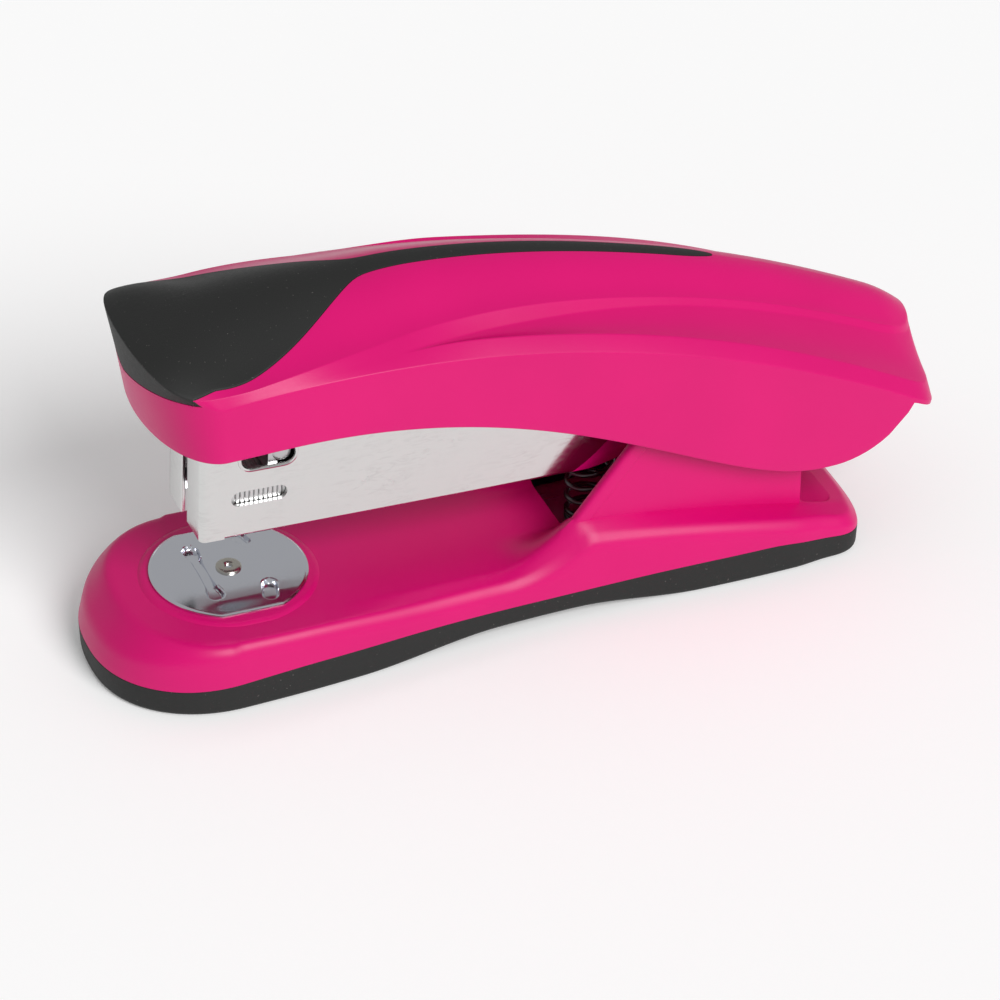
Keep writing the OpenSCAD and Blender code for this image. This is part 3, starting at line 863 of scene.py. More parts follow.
def housing_path(zone, v):
    """One section of the housing, from the deck's middle over its side to the hollow inside."""
    side = math.sin(v) ** 2 if zone != "body" else 1.0
    seam = base_outline(zone, v, NOSE_REACH, HEEL_REACH, 0.0)
    seam_z = seam_height(seam[0])
    edge = base_outline(zone, v, 13.5, 6.8, EDGE_INSET, 0.92)
    edge_z = RIVET.z / MM - 0.25 - edge[0] * SLOPE if zone == "nose" else rim_height(edge[0])
    flank = base_outline(zone, v, 17.0, 7.8, 0.15)
    drop = mix(edge_z - seam_z - 3.2, 1.5, side) if zone == "nose" else 1.5
    flank_z = max(seam_z + 0.8, edge_z - drop)
    middle = BASE_NOSE if zone == "nose" else BASE_HEEL

    def top(share, under=0.0):
        t = mix(middle, edge[0], share) if zone != "body" else v
        y = edge[1] * share
        reach = base_half(t) - EDGE_INSET
        z = base_top(t, min(y, reach), (reach, edge_z if zone != "nose" else deck_height(t)))
        return Vector((t, y, z - under))

    corners = [(top(s), 0) for s in spread(0, 0.93, 22)]
    corners += [(Vector((edge[0], edge[1], edge_z)), 1.0 + 0.8 * (1 - side))]
    corners += [(Vector((flank[0], flank[1], flank_z)), 1.3)]
    wide = Vector((seam[0], seam[1], seam_z))
    corners += [(Vector((flank[0], flank[1], flank_z)).lerp(wide, 0.6), 0), (wide, 0.12)]
    thick = 3.4 - 1.4 * ease((seam[0] - 20) / 20) + 0.6 * ease((seam[0] - 80) / 5)
    inner = base_outline(zone, v, NOSE_REACH - HOUSING_WALL, HEEL_REACH - HOUSING_WALL, HOUSING_WALL)
    corners += [(Vector((inner[0], inner[1], seam_z)), 0)]
    inset = 0.86
    shoulder = Vector((mix(middle, inner[0], inset) if zone != "body" else v, inner[1] * inset, 0.0))
    shoulder.z = max(seam_z + 0.4, min(edge_z, top(0.8).z) - thick)
    corners += [(shoulder, 0.4)]
    corners += [(top(s, thick), 0) for s in spread(0.78, 0, 8)]
    return [place(*p) for p in eased_path(corners)]


def cheek_tool(bm):
    """The two flat cheeks of the hinge column."""
    outline = rounded_outline([
        (48.6, 11.6, 0.5), (50.2, 15.6, 0.8), (59.4, 27.4, 2), (63.6, 31.6, 2), (70, 34, 2), (80, 34.4, 1),
        (84, 34.5, 1.5), (86.6, 32, 1.2), (86.6, 29, 1), (85.5, 26, 0.5), (85.5, 6.6, 0.3), (53.5, 6.6, 0.3),
    ])
    for side in (-1, 1):
        add_prism(bm, outline, side * CHEEK_IN, side * (CHEEK_OUT - 0.25), lambda t, z, y: place(t, y, z))


def rib_tool(bm, side):
    """The rounded bar up the front edge of one cheek."""
    spine = eased_path([
        (Vector((44.6, 0, 9.5)), 0), (Vector((48.6, 0, 15.0)), 3.5), (Vector((59.0, 0, 27.6)), 3),
        (Vector((65.0, 0, 32.6)), 0),
    ], 8)
    section = rounded_outline([(-1.1, -1.0, 0.2), (1.1, -1.0, 0.95), (1.1, 1.0, 0.95), (-1.1, 1.0, 0.2)], 6)
    middle, sink, narrow = (CHEEK_IN + CHEEK_OUT) / 2, 0.95, 0.93
    rings = []
    for i, point in enumerate(spine):
        ahead = spine[min(i + 1, len(spine) - 1)] - spine[max(i - 1, 0)]
        out = Vector((-ahead.z, 0, ahead.x)).normalized()
        rings.append([
            place(point.x + out.x * (b - sink), side * (middle + a * narrow), point.z + out.z * (b - sink))
            for b, a in section
        ])
    add_tube(bm, rings)


def anvil_rim(bm):
    """The raised ring that the anvil plate turns over, with a flat along each side."""
    rings = []
    around, rise, sunk, outer, flat = 120, 0.35, -0.8, 12.9, 12.7
    for k in range(around):
        angle = 2 * math.pi * k / around
        reach = min(outer, flat / max(1e-6, abs(math.sin(angle))))
        profile = [
            (POCKET, sunk), (POCKET, rise - 0.1), (POCKET + 0.1, rise), (reach - 0.6, rise),
            (reach - 0.2, rise - 0.07), (reach + 0.2, rise - 0.3), (reach + 0.6, -0.25), (reach + 0.6, sunk),
        ]
        rings.append([deck_place(r * math.cos(angle), r * math.sin(angle), h) for r, h in profile])
    add_grid(bm, rings + [rings[0]], wrap=True)


def upright(x, y):
    """Places for a turned piece that stands square to the desk at (x, y) in metres."""
    return lambda a, b, h: Vector((x + a * MM, y + b * MM, h * MM))


def make_base_housing(size):
    """The moulded housing: its sections, less the hollows, with bosses, anvil rim, cheeks and ribs."""
    piece = drawn("base_housing", add_mirrored_grid, [housing_path(zone, v) for zone, v in base_stations()])
    front, back, high = size.well_front, 86.0, 24.0
    well = rounded_outline([(t, y, 0.8) for t, y in (
        (front, -CHEEK_IN), (back, -CHEEK_IN), (back, CHEEK_IN), (front, CHEEK_IN),
    )])
    cut(piece, "DIFFERENCE", add_prism, well, 2.0, high, place)
    pocket = [(0, -POCKET_DEEP), (POCKET, -POCKET_DEEP), (POCKET, 3), (0, 3)]
    cut(piece, "DIFFERENCE", add_round, pocket, deck_place, 96)
    heel = rounded_outline([(back, -13, 1), (91.8, -13, 3.5), (91.8, 13, 3.5), (back, 13, 1)], 8)
    cut(piece, "DIFFERENCE", add_prism, heel, 6.9, high, place)
    bore = [(0, -6), (RIVET_BORE, -6), (RIVET_BORE, 1), (0, 1)]
    cut(piece, "DIFFERENCE", add_round, bore, deck_place, 32)
    for x, y in screw_spots():
        foot, roof = 5.2, 8.6 if x < RIVET.x else 8.0 if x < HINGE.x else 6.6
        boss = [(SCREW_HOLE, foot), (3.0, foot), (3.0, roof), (SCREW_HOLE, roof), (SCREW_HOLE, foot)]
        cut(piece, "UNION", add_round, boss, upright(x, y), 32)
    cut(piece, "UNION", anvil_rim)
    cut(piece, "UNION", cheek_tool)
    for side in (-1, 1):
        cut(piece, "UNION", rib_tool, side)
    return piece


def sole_path(zone, v):
    """One section of the sole, from its middle top over its side to its middle bottom."""
    seam = base_outline(zone, v, NOSE_REACH, HEEL_REACH, 0.02)
    foot = base_outline(zone, v, NOSE_REACH - 0.1, HEEL_REACH - 0.1, 0.12)
    tread = base_outline(zone, v, NOSE_REACH - 0.6, HEEL_REACH - 0.5, 0.6)
    top, low = seam_height(seam[0]) - 0.04, sole_low(foot[0])
    middle = BASE_NOSE if zone == "nose" else BASE_HEEL

    def spot(outline, share, z):
        centre = outline[0] if zone == "body" else middle
        return Vector((mix(centre, outline[0], share), outline[1] * share, z))

    # outside the straight body the middle of every section is the same place
    seam_middle, tread_middle = (seam[0], tread[0]) if zone == "body" else (middle, middle)
    corners = [
        (spot(seam, 0, sole_top(seam_middle)), 0), (spot(seam, 0.88, sole_top(seam[0])), 0),
        (spot(seam, 0.9, top), 0), (spot(seam, 1, top), 0.15), (spot(foot, 1, low + 0.6), 0.4),
        (spot(tread, 1, low), 0.4), (spot(tread, 0.8, low), 0), (spot(tread, 0, sole_low(tread_middle)), 0),
    ]
    return [place(*p) for p in eased_path(corners)]


def screw_spots():
    """The six screws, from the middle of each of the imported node's corners."""
    low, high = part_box("base_screws")
    rows = ((low.x + SCREW_HEAD * MM, 7), (RIVET.x + 34 * MM, 9), (high.x - SCREW_HEAD * MM, 8))
    return [(x, side * y * MM) for x, y in rows for side in (-1, 1)]


def screw_recesses(bm):
    """Six holes up through the sole."""
    for x, y in screw_spots():
        add_round(bm, [(0, -1), (SCREW_RECESS, -1), (SCREW_RECESS, 8), (0, 8)], upright(x, y), 32)


def make_base_sole():
    piece = drawn("base_sole", add_mirrored_grid, [sole_path(zone, v) for zone, v in base_stations()])
    cut(piece, "DIFFERENCE", screw_recesses)
    return piece


# ---------------------------------------------------------------- anvil

# from the rivet to each clinching groove, and the plate's underside above the pocket's edge
GROOVE_AT = 3.9
PLATE_LOW = 0.43
PLATE_THICK = 0.5
PLATE_RADIUS = 11.6
PLATE_FLAT = 10.6


def groove_depth(a, b):
    """How deep the plate is pressed at a place: one bone-shaped groove and two short slanted ones."""
    reach = min(1.0, abs(b) / 6.0)
    wide = 0.72 + 0.42 * ease((reach - 0.5) / 0.4)
    away = math.hypot(a + GROOVE_AT, max(0.0, abs(b) - 5.7))
    bone = ease((wide + 0.2 - away) / 0.42) * mix(0.5, 0.85, reach)
    sign = 1 if b > 0 else -1
    da, db = a - GROOVE_AT, b - sign * 6.9
    slant = math.radians(16) * sign
    across = da * math.cos(slant) + db * math.sin(slant)
    along = -da * math.sin(slant) + db * math.cos(slant)
    away = math.hypot(across, max(0.0, abs(along) - 1.2))
    dimple = ease((1.25 - away) / 0.42) * 0.85
    return max(bone, dimple)


def add_anvil_plate(bm):
    """The pressed plate as a fine grid, round with two flat sides, on a matching underside."""
    cells, crowd, turned_edge = 180, 0.98, 0.22
    top, bottom = [], []
    for i in range(cells + 1):
        b = PLATE_FLAT * math.sin(QUARTER * (2 * i / cells - 1) * crowd) / math.sin(QUARTER * crowd)
        half = math.sqrt(PLATE_RADIUS ** 2 - b ** 2)
        upper, lower = [], []
        for j in range(cells + 1):
            a = half * (2 * j / cells - 1)
            rim = min(PLATE_RADIUS - math.hypot(a, b), PLATE_FLAT - abs(b))
            fall = turned_edge * (1 - ease(rim / 0.45))
            z = PLATE_LOW + PLATE_THICK + 0.1 * ease(rim / 6) - groove_depth(a, b)
            z -= 0.22 * ease((abs(b) - 7.4) / 3.4) * ease((a + 8) / 5) + fall
            upper.append(deck_place(a, b, z))
            lower.append(deck_place(a, b, z - PLATE_THICK + fall))
        top.append(upper)
        bottom.append(lower)
    upper, lower = add_grid(bm, top), add_grid(bm, bottom)
    ring = [(0, j) for j in range(cells)] + [(i, cells) for i in range(cells)]
    ring += [(cells, cells - j) for j in range(cells)] + [(cells - i, 0) for i in range(cells)]
    for (i, j), (k, m) in zip(ring, ring[1:] + ring[:1]):
        bm.faces.new((upper[i][j], upper[k][m], lower[k][m], lower[i][j]))


def make_anvil_plate():
    return drawn("anvil_plate", add_anvil_plate, sharp=50.0)


def make_anvil_rivet():
    """A hollow rivet with a rolled head."""
    top = PLATE_LOW + PLATE_THICK + 0.12
    profile = [
        (0, top - 1.6), (0.55, top - 1.6), (0.55, top + 0.2), (0.72, top + 0.36), (0.9, top + 0.4),
        (1.5, top + 0.4), (1.75, top + 0.34), (1.88, top + 0.2), (1.9, top - 0.02), (1.3, top - 0.05),
        (1.3, -4.1), (2.1, -4.15), (2.1, -4.6), (0, -4.6),
    ]
    return drawn("anvil_rivet", add_round, profile, deck_place, 48)


# ---------------------------------------------------------------- magazine

# the channel's front, lower and upper edges from the hinge pin, and where its sides meet its front
MAG_FRONT = -89.6
MAG_LOW = -13.35
MAG_HIGH = 2.4
MAG_CORNER = -86.0
# slots as (centre, length, width): the staple window and the eye round the guide pin
WINDOW = ((-80.9, -6.9), 8.4, 2.4)
EYE = ((-79.7, -0.4), 8.2, 3.4)
GUIDE = (-77.5, -0.5)
PIN_RADIUS = 2.0
PIN_BORE = 2.05
PIN_HALF = 14.3


def side_prism(bm, outline, reach):
    """An outline in the magazine's side view, cut right across."""
    add_prism(bm, outline, -reach, reach, lambda u, w, y: hinge_place(u, y, w))


def eye_rims(bm, half):
    """The rolled rims of the two eyes."""
    grow, out_by, up_by, sunk, around = 0.35, 0.3, 0.26, 0.06, 8
    outline = slot_outline(EYE[0], EYE[1] + grow, EYE[2] + grow, 14)
    for side in (-1, 1):
        rings = []
        for i, (u, w) in enumerate(outline):
            before, after = outline[i - 1], outline[(i + 1) % len(outline)]
            run = Vector((after[0] - before[0], after[1] - before[1])).normalized()
            ring = []
            for k in range(around):
                angle = 2 * math.pi * k / around
                out, up = out_by * math.cos(angle), up_by * math.sin(angle)
                ring.append(hinge_place(u + run.y * out, side * (half - sunk + up), w - run.x * out))
            rings.append(ring)
        add_grid(bm, rings + [rings[0]], wrap=True)


def make_magazine_cover(size):
    """The chromed channel: its trough, its two front flanges, its slots and its slanted rear edge."""
    half, sheet = size.half_width, size.sheet
    bend = rounded_outline([
        (-half, MAG_HIGH, 0), (-half, MAG_LOW, 0.45), (half, MAG_LOW, 0.45), (half, MAG_HIGH, 0),
        (half - sheet, MAG_HIGH, 0), (half - sheet, MAG_LOW + sheet, 0.1),
        (sheet - half, MAG_LOW + sheet, 0.1), (sheet - half, MAG_HIGH, 0),
    ])
    trough = [[hinge_place(u, y, w) for y, w in bend] for u in (MAG_CORNER - 0.4, -18.0)]
    piece = drawn("magazine_cover", add_tube, trough)
    inner, gap = MAG_FRONT + sheet, 1.15
    flange = rounded_outline([
        (MAG_CORNER, half, 0), (MAG_FRONT, half, 1.05), (MAG_FRONT, gap, 0.15), (inner, gap, 0.15),
        (inner, half - sheet, 0.5), (MAG_CORNER, half - sheet, 0),
    ])
    for side in (-1, 1):
        cut(piece, "UNION", add_prism, flange, MAG_LOW, MAG_HIGH, lambda u, y, w: hinge_place(u, y * side, w))
    for slot in (WINDOW, EYE):
        cut(piece, "DIFFERENCE", side_prism, slot_outline(*slot), 9.0)
    rear = rounded_outline([
        (-10, -20, 0), (-10, 8, 0), (-19.6, 8, 0), (-22.4, -3.4, 2), (-28.6, -10.6, 3), (-32.4, -13.4, 1.2),
        (-38.0, MAG_LOW - 0.02, 0), (-38, -20, 0),
    ])
    cut(piece, "DIFFERENCE", side_prism, rear, 9.0)
    soften(piece, 0.09)
    cut(piece, "UNION", eye_rims, half)
    return piece


def make_magazine_carrier():
    """The moulded carrier behind the channel, with a lip along under it and the hinge boss."""
    under, lip = MAG_LOW - 0.02, MAG_LOW - 0.35
    outline = rounded_outline([
        (-33.9, 1, 0.3), (-33.9, under, 0.1), (-62, under, 0.1), (-62, lip, 0.1), (-29, lip, 1.5),
        (-22, -12, 3), (-12, -8, 3), (-4, -5.6, 2), (5.2, -4, 3), (5.2, 4, 3), (-3, 4.6, 2), (-18, 1, 2),
    ])
    piece = drawn("magazine_carrier", side_prism, outline, 6.5)
    bore = [(PIN_BORE * math.cos(a), PIN_BORE * math.sin(a)) for a in spread(0, 2 * math.pi, 40)[:-1]]
    cut(piece, "DIFFERENCE", side_prism, bore, 9.0)
    soften(piece, 0.25)
    return piece


def one_staple():
    """One staple as a bent flat wire, at the front of the strip."""
    half, wire_high, wire_long = 6.45, 0.5, 0.64
    top, tip, front = -3.9, -9.9, -87.0
    bevel, run_in = 0.14, 0.1
    path = rounded_outline([
        (-half, tip, 0), (-half, top, 0.5), (half, top, 0.5), (half, tip, 0), (half - wire_high, tip, 0),
        (half - wire_high, top - wire_high, 0.1), (wire_high - half, top - wire_high, 0.1),
        (wire_high - half, tip, 0),
    ], 3)
    rings = []
    for u, shrink in ((0.0, bevel), (run_in, 0.0), (wire_long - run_in, 0.0), (wire_long, bevel)):
        ring = []
        for y, w in path:
            inset_y = shrink if abs(y) > half - 0.05 else 0.0
            inset_w = shrink if w > top - 0.05 else 0.0
            ring.append(hinge_place(front + u, y - math.copysign(inset_y, y), w - inset_w))
        rings.append(ring)
    return drawn("one_staple", add_tube, rings)


def make_repeater(name, template, points, finish):
    """Puts a template at each point with Geometry Nodes, as one plain mesh."""
    carrier_mesh = bpy.data.meshes.new(name)
    carrier_mesh.from_pydata([tuple(p) for p in points], [], [])
    piece = bpy.data.objects.new(name, carrier_mesh)
    bpy.context.scene.collection.objects.link(piece)
    tree = bpy.data.node_groups.new(name + "_layout", "GeometryNodeTree")
    tree.interface.new_socket("Geometry", in_out="INPUT", socket_type="NodeSocketGeometry")
    shape = tree.interface.new_socket("Template", in_out="INPUT", socket_type="NodeSocketObject")
    size = tree.interface.new_socket("Size", in_out="INPUT", socket_type="NodeSocketFloat")
    tree.interface.new_socket("Geometry", in_out="OUTPUT", socket_type="NodeSocketGeometry")
    start = tree.nodes.new("NodeGroupInput")
    info = tree.nodes.new("GeometryNodeObjectInfo")
    copies = tree.nodes.new("GeometryNodeInstanceOnPoints")
    solid = tree.nodes.new("GeometryNodeRealizeInstances")
    coat = tree.nodes.new("GeometryNodeSetMaterial")
    end = tree.nodes.new("NodeGroupOutput")
    coat.inputs["Material"].default_value = finish
    for a, b in (
        (start.outputs["Geometry"], copies.inputs["Points"]),
        (start.outputs["Template"], info.inputs["Object"]),
        (start.outputs["Size"], copies.inputs["Scale"]),
        (info.outputs["Geometry"], copies.inputs["Instance"]),
        (copies.outputs["Instances"], solid.inputs["Geometry"]),
        (solid.outputs["Geometry"], coat.inputs["Geometry"]),
        (coat.outputs["Geometry"], end.inputs["Geometry"]),
    ):
        tree.links.new(a, b)
    layout = piece.modifiers.new("layout", "NODES")
    layout.node_group = tree
    layout[shape.identifier] = template
    layout[size.identifier] = 1.0
    settle(piece)
    bpy.data.objects.remove(template)
    return piece


def make_staple_strip(size):
    """The glued strip, one staple behind another."""
    along = hinge_place(1, 0, 0) - hinge_place(0, 0, 0)
    points = [along * (i * size.staple_pitch) for i in range(size.staples)]
    return make_repeater("staple_strip", one_staple(), points, FINISHES["staple_wire"])


# ---------------------------------------------------------------- springs, pins and small steel


def make_coil(name, put, radius, wire, height, turns, spin=0.0):
    """A round-wire spring with closed ends, its axis along put's third direction."""
    per_turn, around = 28, 10
    count = int(turns * per_turn)
    # how much of the wire lies in each closed end, and how far that end climbs
    ends, climb = 0.9 / turns, 1.6 * wire
    line = []
    for i in range(count + 1):
        angle = 2 * math.pi * i / per_turn + spin
        share = i / count
        if share < ends:
            rise = wire + climb * share / ends
        elif share > 1 - ends:
            rise = height - wire - climb * (1 - share) / ends
        else:
            rise = mix(wire + climb, height - wire - climb, (share - ends) / (1 - 2 * ends))
        line.append(put(radius * math.cos(angle), radius * math.sin(angle), rise))
    middle = put(0, 0, 0)
    axis = (put(0, 0, 1) - middle).normalized()
    rings = []
    for i, point in enumerate(line):
        run = (line[min(i + 1, count)] - line[max(i - 1, 0)]).normalized()
        out = point - middle
        out = (out - axis * out.dot(axis)).normalized() * wire * MM
        up = run.cross(out)
        angles = [2 * math.pi * k / around for k in range(around)]
        rings.append([point + out * math.cos(angle) + up * math.sin(angle) for angle in angles])
    return drawn(name, add_tube, rings, sharp=60.0)


def coil_up(t, low):
    """A spring that stands on the desk side, with its foot at (t, low)."""
    return lambda a, b, h: place(t + a, b, low + h)


def coil_along(u, w):
    """A spring that lies along the magazine."""
    return lambda a, b, h: hinge_place(u + h, b, w + a)


def across_pin(name, centre, half, radius, dome):
    """A pin along Y with slightly domed ends; centre is its place in the magazine's side view."""
    round_off = 0.15
    end = [
        (radius, half - round_off), (radius - round_off, half), (radius * 0.6, half + dome * 0.7),
        (0, half + dome),
    ]
    profile = [(r, -h) for r, h in reversed(end)] + end
    return drawn(name, add_round, profile, lambda a, b, h: hinge_place(centre[0] + a, h, centre[1] + b), 40)


def add_hinge_clips(bm):
    """Two spring clips in the pin's grooves, each with a mouth and three small lugs."""
    outer, inner, lug, steps = 3.0, 2.35, 0.35, 30
    outline = []
    for k in range(steps + 1):
        angle = math.radians(-60 + 300 * k / steps)
        outline.append((outer * math.cos(angle), outer * math.sin(angle)))
    for k in range(steps + 1):
        angle = math.radians(240 - 300 * k / steps)
        radius = inner - (lug if k in (0, 1, steps // 2, steps - 1, steps) else 0.0)
        outline.append((radius * math.cos(angle), radius * math.sin(angle)))
    for side in (-1, 1):
        add_prism(bm, outline, side * 13.9, side * PIN_HALF, lambda u, w, y: hinge_place(u, y, w))


def one_screw():
    """A pan-head screw with a cross recess, pointing up, centred on the origin."""
    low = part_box("base_screws")[0].z / MM
    head, shank, long = 1.4, 1.25, 3.65
    profile = [
        (0, low + 0.05), (1.3, low), (2.0, low + 0.2), (SCREW_HEAD, low + 0.6), (SCREW_HEAD, low + head),
        (shank, low + head), (shank, low + long - 0.25), (0.9, low + long), (0, low + long),
    ]
    piece = drawn("one_screw", add_round, profile, upright(0, 0), 28)
    arm, wide = 1.35, 0.32
    cross = [(arm, wide), (wide, wide), (wide, arm), (-wide, arm), (-wide, wide), (-arm, wide)]
    cross += [(-a, -b) for a, b in cross]
    cut(piece, "DIFFERENCE", add_prism, cross, low - 0.5, low + 0.75, upright(0, 0))
    return piece


def make_base_screws():
    """The same screw at each of the six places."""
    points = [(x, y, 0.0) for x, y in screw_spots()]
    return make_repeater("base_screws", one_screw(), points, FINISHES["steel"])


# ---------------------------------------------------------------- operators


class STAPLER_OT_finishes(bpy.types.Operator):
    """Mix the plastics, rubbers, chromes and steels"""

    bl_idname = "stapler.finishes"
    bl_label = "Finishes"

    def execute(self, context):
        make_finishes(context.scene.stapler_finish)
        return {"FINISHED"}


class STAPLER_OT_handle_shell(bpy.types.Operator):
    """Mould the handle's shell with its two chamfered bands"""

    bl_idname = "stapler.handle_shell"
    bl_label = "Handle shell"

    def execute(self, context):
        piece = make_handle_shell(context.scene.stapler_handle)
        fit_out(piece, "handle", "magenta_plastic", FINISHES["magenta_plastic"], "handle_shell")
        return {"FINISHED"}


class STAPLER_OT_grip_inlay(bpy.types.Operator):
    """Lay the rubber grip into the shell"""

    bl_idname = "stapler.grip_inlay"
    bl_label = "Grip inlay"

    def execute(self, context):
        piece = make_grip_inlay(context.scene.stapler_handle)
        fit_out(piece, "handle", "black_rubber", FINISHES["black_rubber"], "grip_inlay")
        return {"FINISHED"}


class STAPLER_OT_base_housing(bpy.types.Operator):
    """Mould the base with its anvil rim, shoulders and hinge cheeks"""

    bl_idname = "stapler.base_housing"
    bl_label = "Base housing"

    def execute(self, context):
        piece = make_base_housing(context.scene.stapler_base)
        fit_out(piece, "base", "magenta_plastic", FINISHES["magenta_plastic"], "base_housing")
        return {"FINISHED"}


class STAPLER_OT_base_sole(bpy.types.Operator):
    """Mould the rubber sole and its screw holes"""

    bl_idname = "stapler.base_sole"
    bl_label = "Base sole"

    def execute(self, context):
        fit_out(make_base_sole(), "base", "black_rubber", FINISHES["black_rubber"], "base_sole")
        return {"FINISHED"}


class STAPLER_OT_anvil(bpy.types.Operator):
    """Press the anvil plate and set its hollow rivet"""

    bl_idname = "stapler.anvil"
    bl_label = "Anvil"

    def execute(self, context):
        fit_out(make_anvil_plate(), "anvil", "chrome_anvil", FINISHES["chrome_anvil"], "anvil_plate")
        fit_out(make_anvil_rivet(), "anvil", "chrome_anvil", FINISHES["rivet"], "anvil_rivet")
        return {"FINISHED"}


class STAPLER_OT_magazine(bpy.types.Operator):
    """Bend the chromed channel and mould its carrier"""

    bl_idname = "stapler.magazine"
    bl_label = "Magazine"

    def execute(self, context):
        size = context.scene.stapler_magazine
        cover = make_magazine_cover(size)
        fit_out(cover, "magazine", "chrome_sheet", FINISHES["chrome_sheet"], "magazine_cover")
        carrier = make_magazine_carrier()
        fit_out(carrier, "magazine", "magenta_plastic", FINISHES["magenta_plastic"], "magazine_carrier")
        return {"FINISHED"}


class STAPLER_OT_staples(bpy.types.Operator):
    """Load the strip of staples"""

    bl_idname = "stapler.staples"
    bl_label = "Staples"

    def execute(self, context):
        strip = make_staple_strip(context.scene.stapler_magazine)
        fit_out(strip, "magazine", "staple_wire", FINISHES["staple_wire"], "staple_strip")
        return {"FINISHED"}


class STAPLER_OT_springs(bpy.types.Operator):
    """Wind the return, pusher and handle springs"""

    bl_idname = "stapler.springs"
    bl_label = "Springs"

    def execute(self, context):
        low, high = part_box("return_spring")
        foot, behind = low.z / MM, 57
        coil = {"radius": 3.4, "wire": 0.42, "height": high.z / MM - foot, "turns": 6, "spin": 2.4}
        lift = make_coil("return_spring", coil_up(behind, foot), **coil)
        # the return spring gets the dark steel, painted shade, instead of its bright spring wire
        fit_out(lift, "base", "spring_wire", FINISHES["blued_wire"], "return_spring")
        place(behind, 0, foot)
        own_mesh(lift)
        low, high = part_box("handle_spring")
        coil = {"radius": 3.0, "wire": 0.38, "height": (high.z - low.z) / MM, "turns": 4}
        top = make_coil("handle_spring", coil_up(60, low.z / MM), **coil)
        fit_out(top, "magazine", "spring_wire", FINISHES["spring_wire"], "handle_spring")
        front, rear, level = -54.1, -34.1, -8.6
        coil = {"radius": 2.1, "wire": 0.28, "height": rear - front, "turns": 14}
        push = make_coil("pusher_spring", coil_along(front, level), **coil)
        fit_out(push, "magazine", "spring_wire", FINISHES["spring_wire"], "pusher_spring")
        hinge_place(rear, 0, level)
        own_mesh(push)
        return {"FINISHED"}


class STAPLER_OT_pins(bpy.types.Operator):
    """Turn the hinge pin, the guide pin and the hinge clips"""

    bl_idname = "stapler.pins"
    bl_label = "Pins and clips"

    def execute(self, context):
        hinge = across_pin("hinge_pin", (0, 0), half=PIN_HALF, radius=PIN_RADIUS, dome=0.1)
        fit_out(hinge, "base", "steel", FINISHES["steel"], "hinge_pin")
        guide = across_pin("guide_pin", GUIDE, half=6.7, radius=1.4, dome=0.2)
        fit_out(guide, "magazine", "steel", FINISHES["steel"], "guide_pin")
        clips = drawn("hinge_clips", add_hinge_clips)
        fit_out(clips, "base", "steel", FINISHES["steel"], "hinge_clips")
        return {"FINISHED"}


class STAPLER_OT_screws(bpy.types.Operator):
    """Set the six screws in the sole"""

    bl_idname = "stapler.screws"
    bl_label = "Screws"

    def execute(self, context):
        fit_out(make_base_screws(), "base", "steel", FINISHES["steel"], "base_screws")
        return {"FINISHED"}


class STAPLER_OT_plain_parts(bpy.types.Operator):
    """Give the plain inner parts their finishes"""

    bl_idname = "stapler.plain_parts"
    bl_label = "Plain inner parts"

    def execute(self, context):
        slots = {entry["node"]: entry["material_slot"] for entry in frame["record"]["subparts"]}
        for name, part in frame["nodes"].items():
            if part.hide_render:
                continue
            part.data.materials.clear()
            part.data.materials.append(FINISHES[slots[name]])
        return {"FINISHED"}


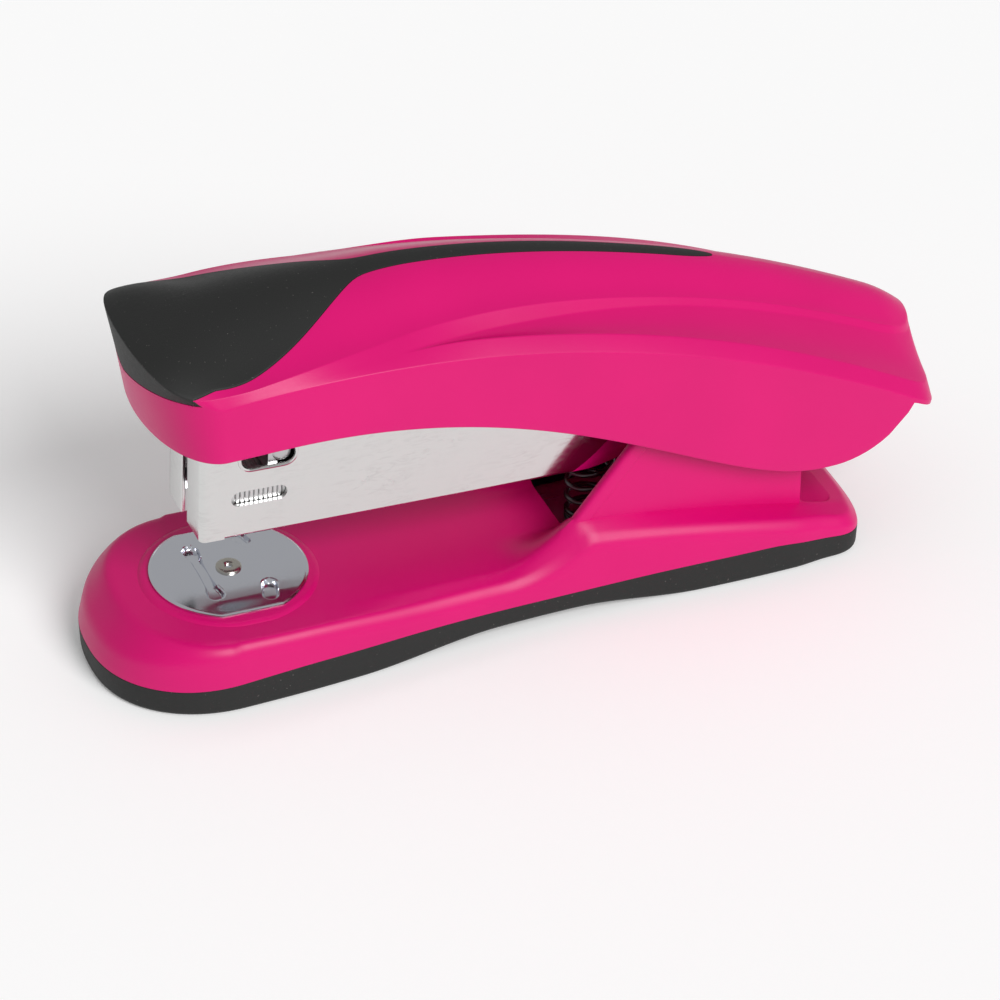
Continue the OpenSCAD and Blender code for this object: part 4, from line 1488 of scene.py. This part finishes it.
class STAPLER_OT_stage(bpy.types.Operator):
    """Set the pale floor, the soft lights and the camera"""

    bl_idname = "stapler.stage"
    bl_label = "Stage"

    def execute(self, context):
        scene = context.scene
        scene.view_settings.view_transform = "Standard"
        world = bpy.data.worlds.new("studio")
        scene.world = world
        world.use_nodes = True
        sky = world.node_tree.nodes["Background"]
        sky.inputs["Color"].default_value = (1.0, 1.0, 1.0, 1.0)
        sky.inputs["Strength"].default_value = 0.42
        reach, grey = 2.5, 0.92
        floor = drawn("floor", add_grid, [[(x, y, 0.0) for y in (-reach, reach)] for x in (-reach, reach)])
        pale = Shader("pale_floor", Base_Color=(grey, grey, grey, 1.0), Roughness=0.8, Emission_Strength=0.12)
        floor.data.materials.append(pale.material)
        sun = bpy.data.lights.new("softbox", "SUN")
        sun.energy = 2.5
        sun.angle = math.radians(32)
        holder = bpy.data.objects.new("softbox", sun)
        scene.collection.objects.link(holder)
        holder.rotation_euler = Vector((-0.2, 0.76, -0.62)).to_track_quat("-Z", "Y").to_euler()
        self.camera(scene)
        return {"FINISHED"}

    def camera(self, scene):
        """The camera looks down the stapler's length from its nose, from above."""
        azimuth, elevation = math.radians(22.5), math.radians(36)
        spot = Vector((-0.18376, -0.44265, 0.36023))
        lens = bpy.data.cameras.new("camera")
        lens.sensor_width = 36
        lens.lens = 144
        camera = bpy.data.objects.new("camera", lens)
        scene.collection.objects.link(camera)
        level = math.cos(elevation)
        ahead = Vector((math.sin(azimuth) * level, math.cos(azimuth) * level, -math.sin(elevation)))
        camera.rotation_euler = ahead.to_track_quat("-Z", "Y").to_euler()
        camera.location = spot
        scene.camera = camera


class STAPLER_PT_panel(bpy.types.Panel):
    """Every step of the stapler, in order"""

    bl_idname = "STAPLER_PT_panel"
    bl_label = "Desk Stapler"
    bl_space_type = "VIEW_3D"
    bl_region_type = "UI"
    bl_category = "Stapler"

    def draw(self, context):
        for operator in STEPS:
            self.layout.operator(operator.bl_idname)


STEPS = (
    STAPLER_OT_stage, STAPLER_OT_finishes, STAPLER_OT_handle_shell, STAPLER_OT_grip_inlay,
    STAPLER_OT_base_housing, STAPLER_OT_base_sole, STAPLER_OT_anvil, STAPLER_OT_magazine,
    STAPLER_OT_staples, STAPLER_OT_springs, STAPLER_OT_pins, STAPLER_OT_screws, STAPLER_OT_plain_parts,
)
GROUPS = {
    "stapler_handle": HandleSettings,
    "stapler_base": BaseSettings,
    "stapler_magazine": MagazineSettings,
    "stapler_finish": FinishSettings,
}


def register():
    for group in GROUPS.values():
        bpy.utils.register_class(group)
    for name, group in GROUPS.items():
        setattr(bpy.types.Scene, name, bpy.props.PointerProperty(type=group))
    for operator in STEPS:
        bpy.utils.register_class(operator)
    bpy.utils.register_class(STAPLER_PT_panel)


def unregister():
    bpy.utils.unregister_class(STAPLER_PT_panel)
    for operator in reversed(STEPS):
        bpy.utils.unregister_class(operator)
    for name, group in GROUPS.items():
        delattr(bpy.types.Scene, name)
        bpy.utils.unregister_class(group)


def main():
    register()
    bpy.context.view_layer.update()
    for operator in STEPS:
        group, name = operator.bl_idname.split(".")
        getattr(getattr(bpy.ops, group), name)()


if __name__ == "__main__":
    main()
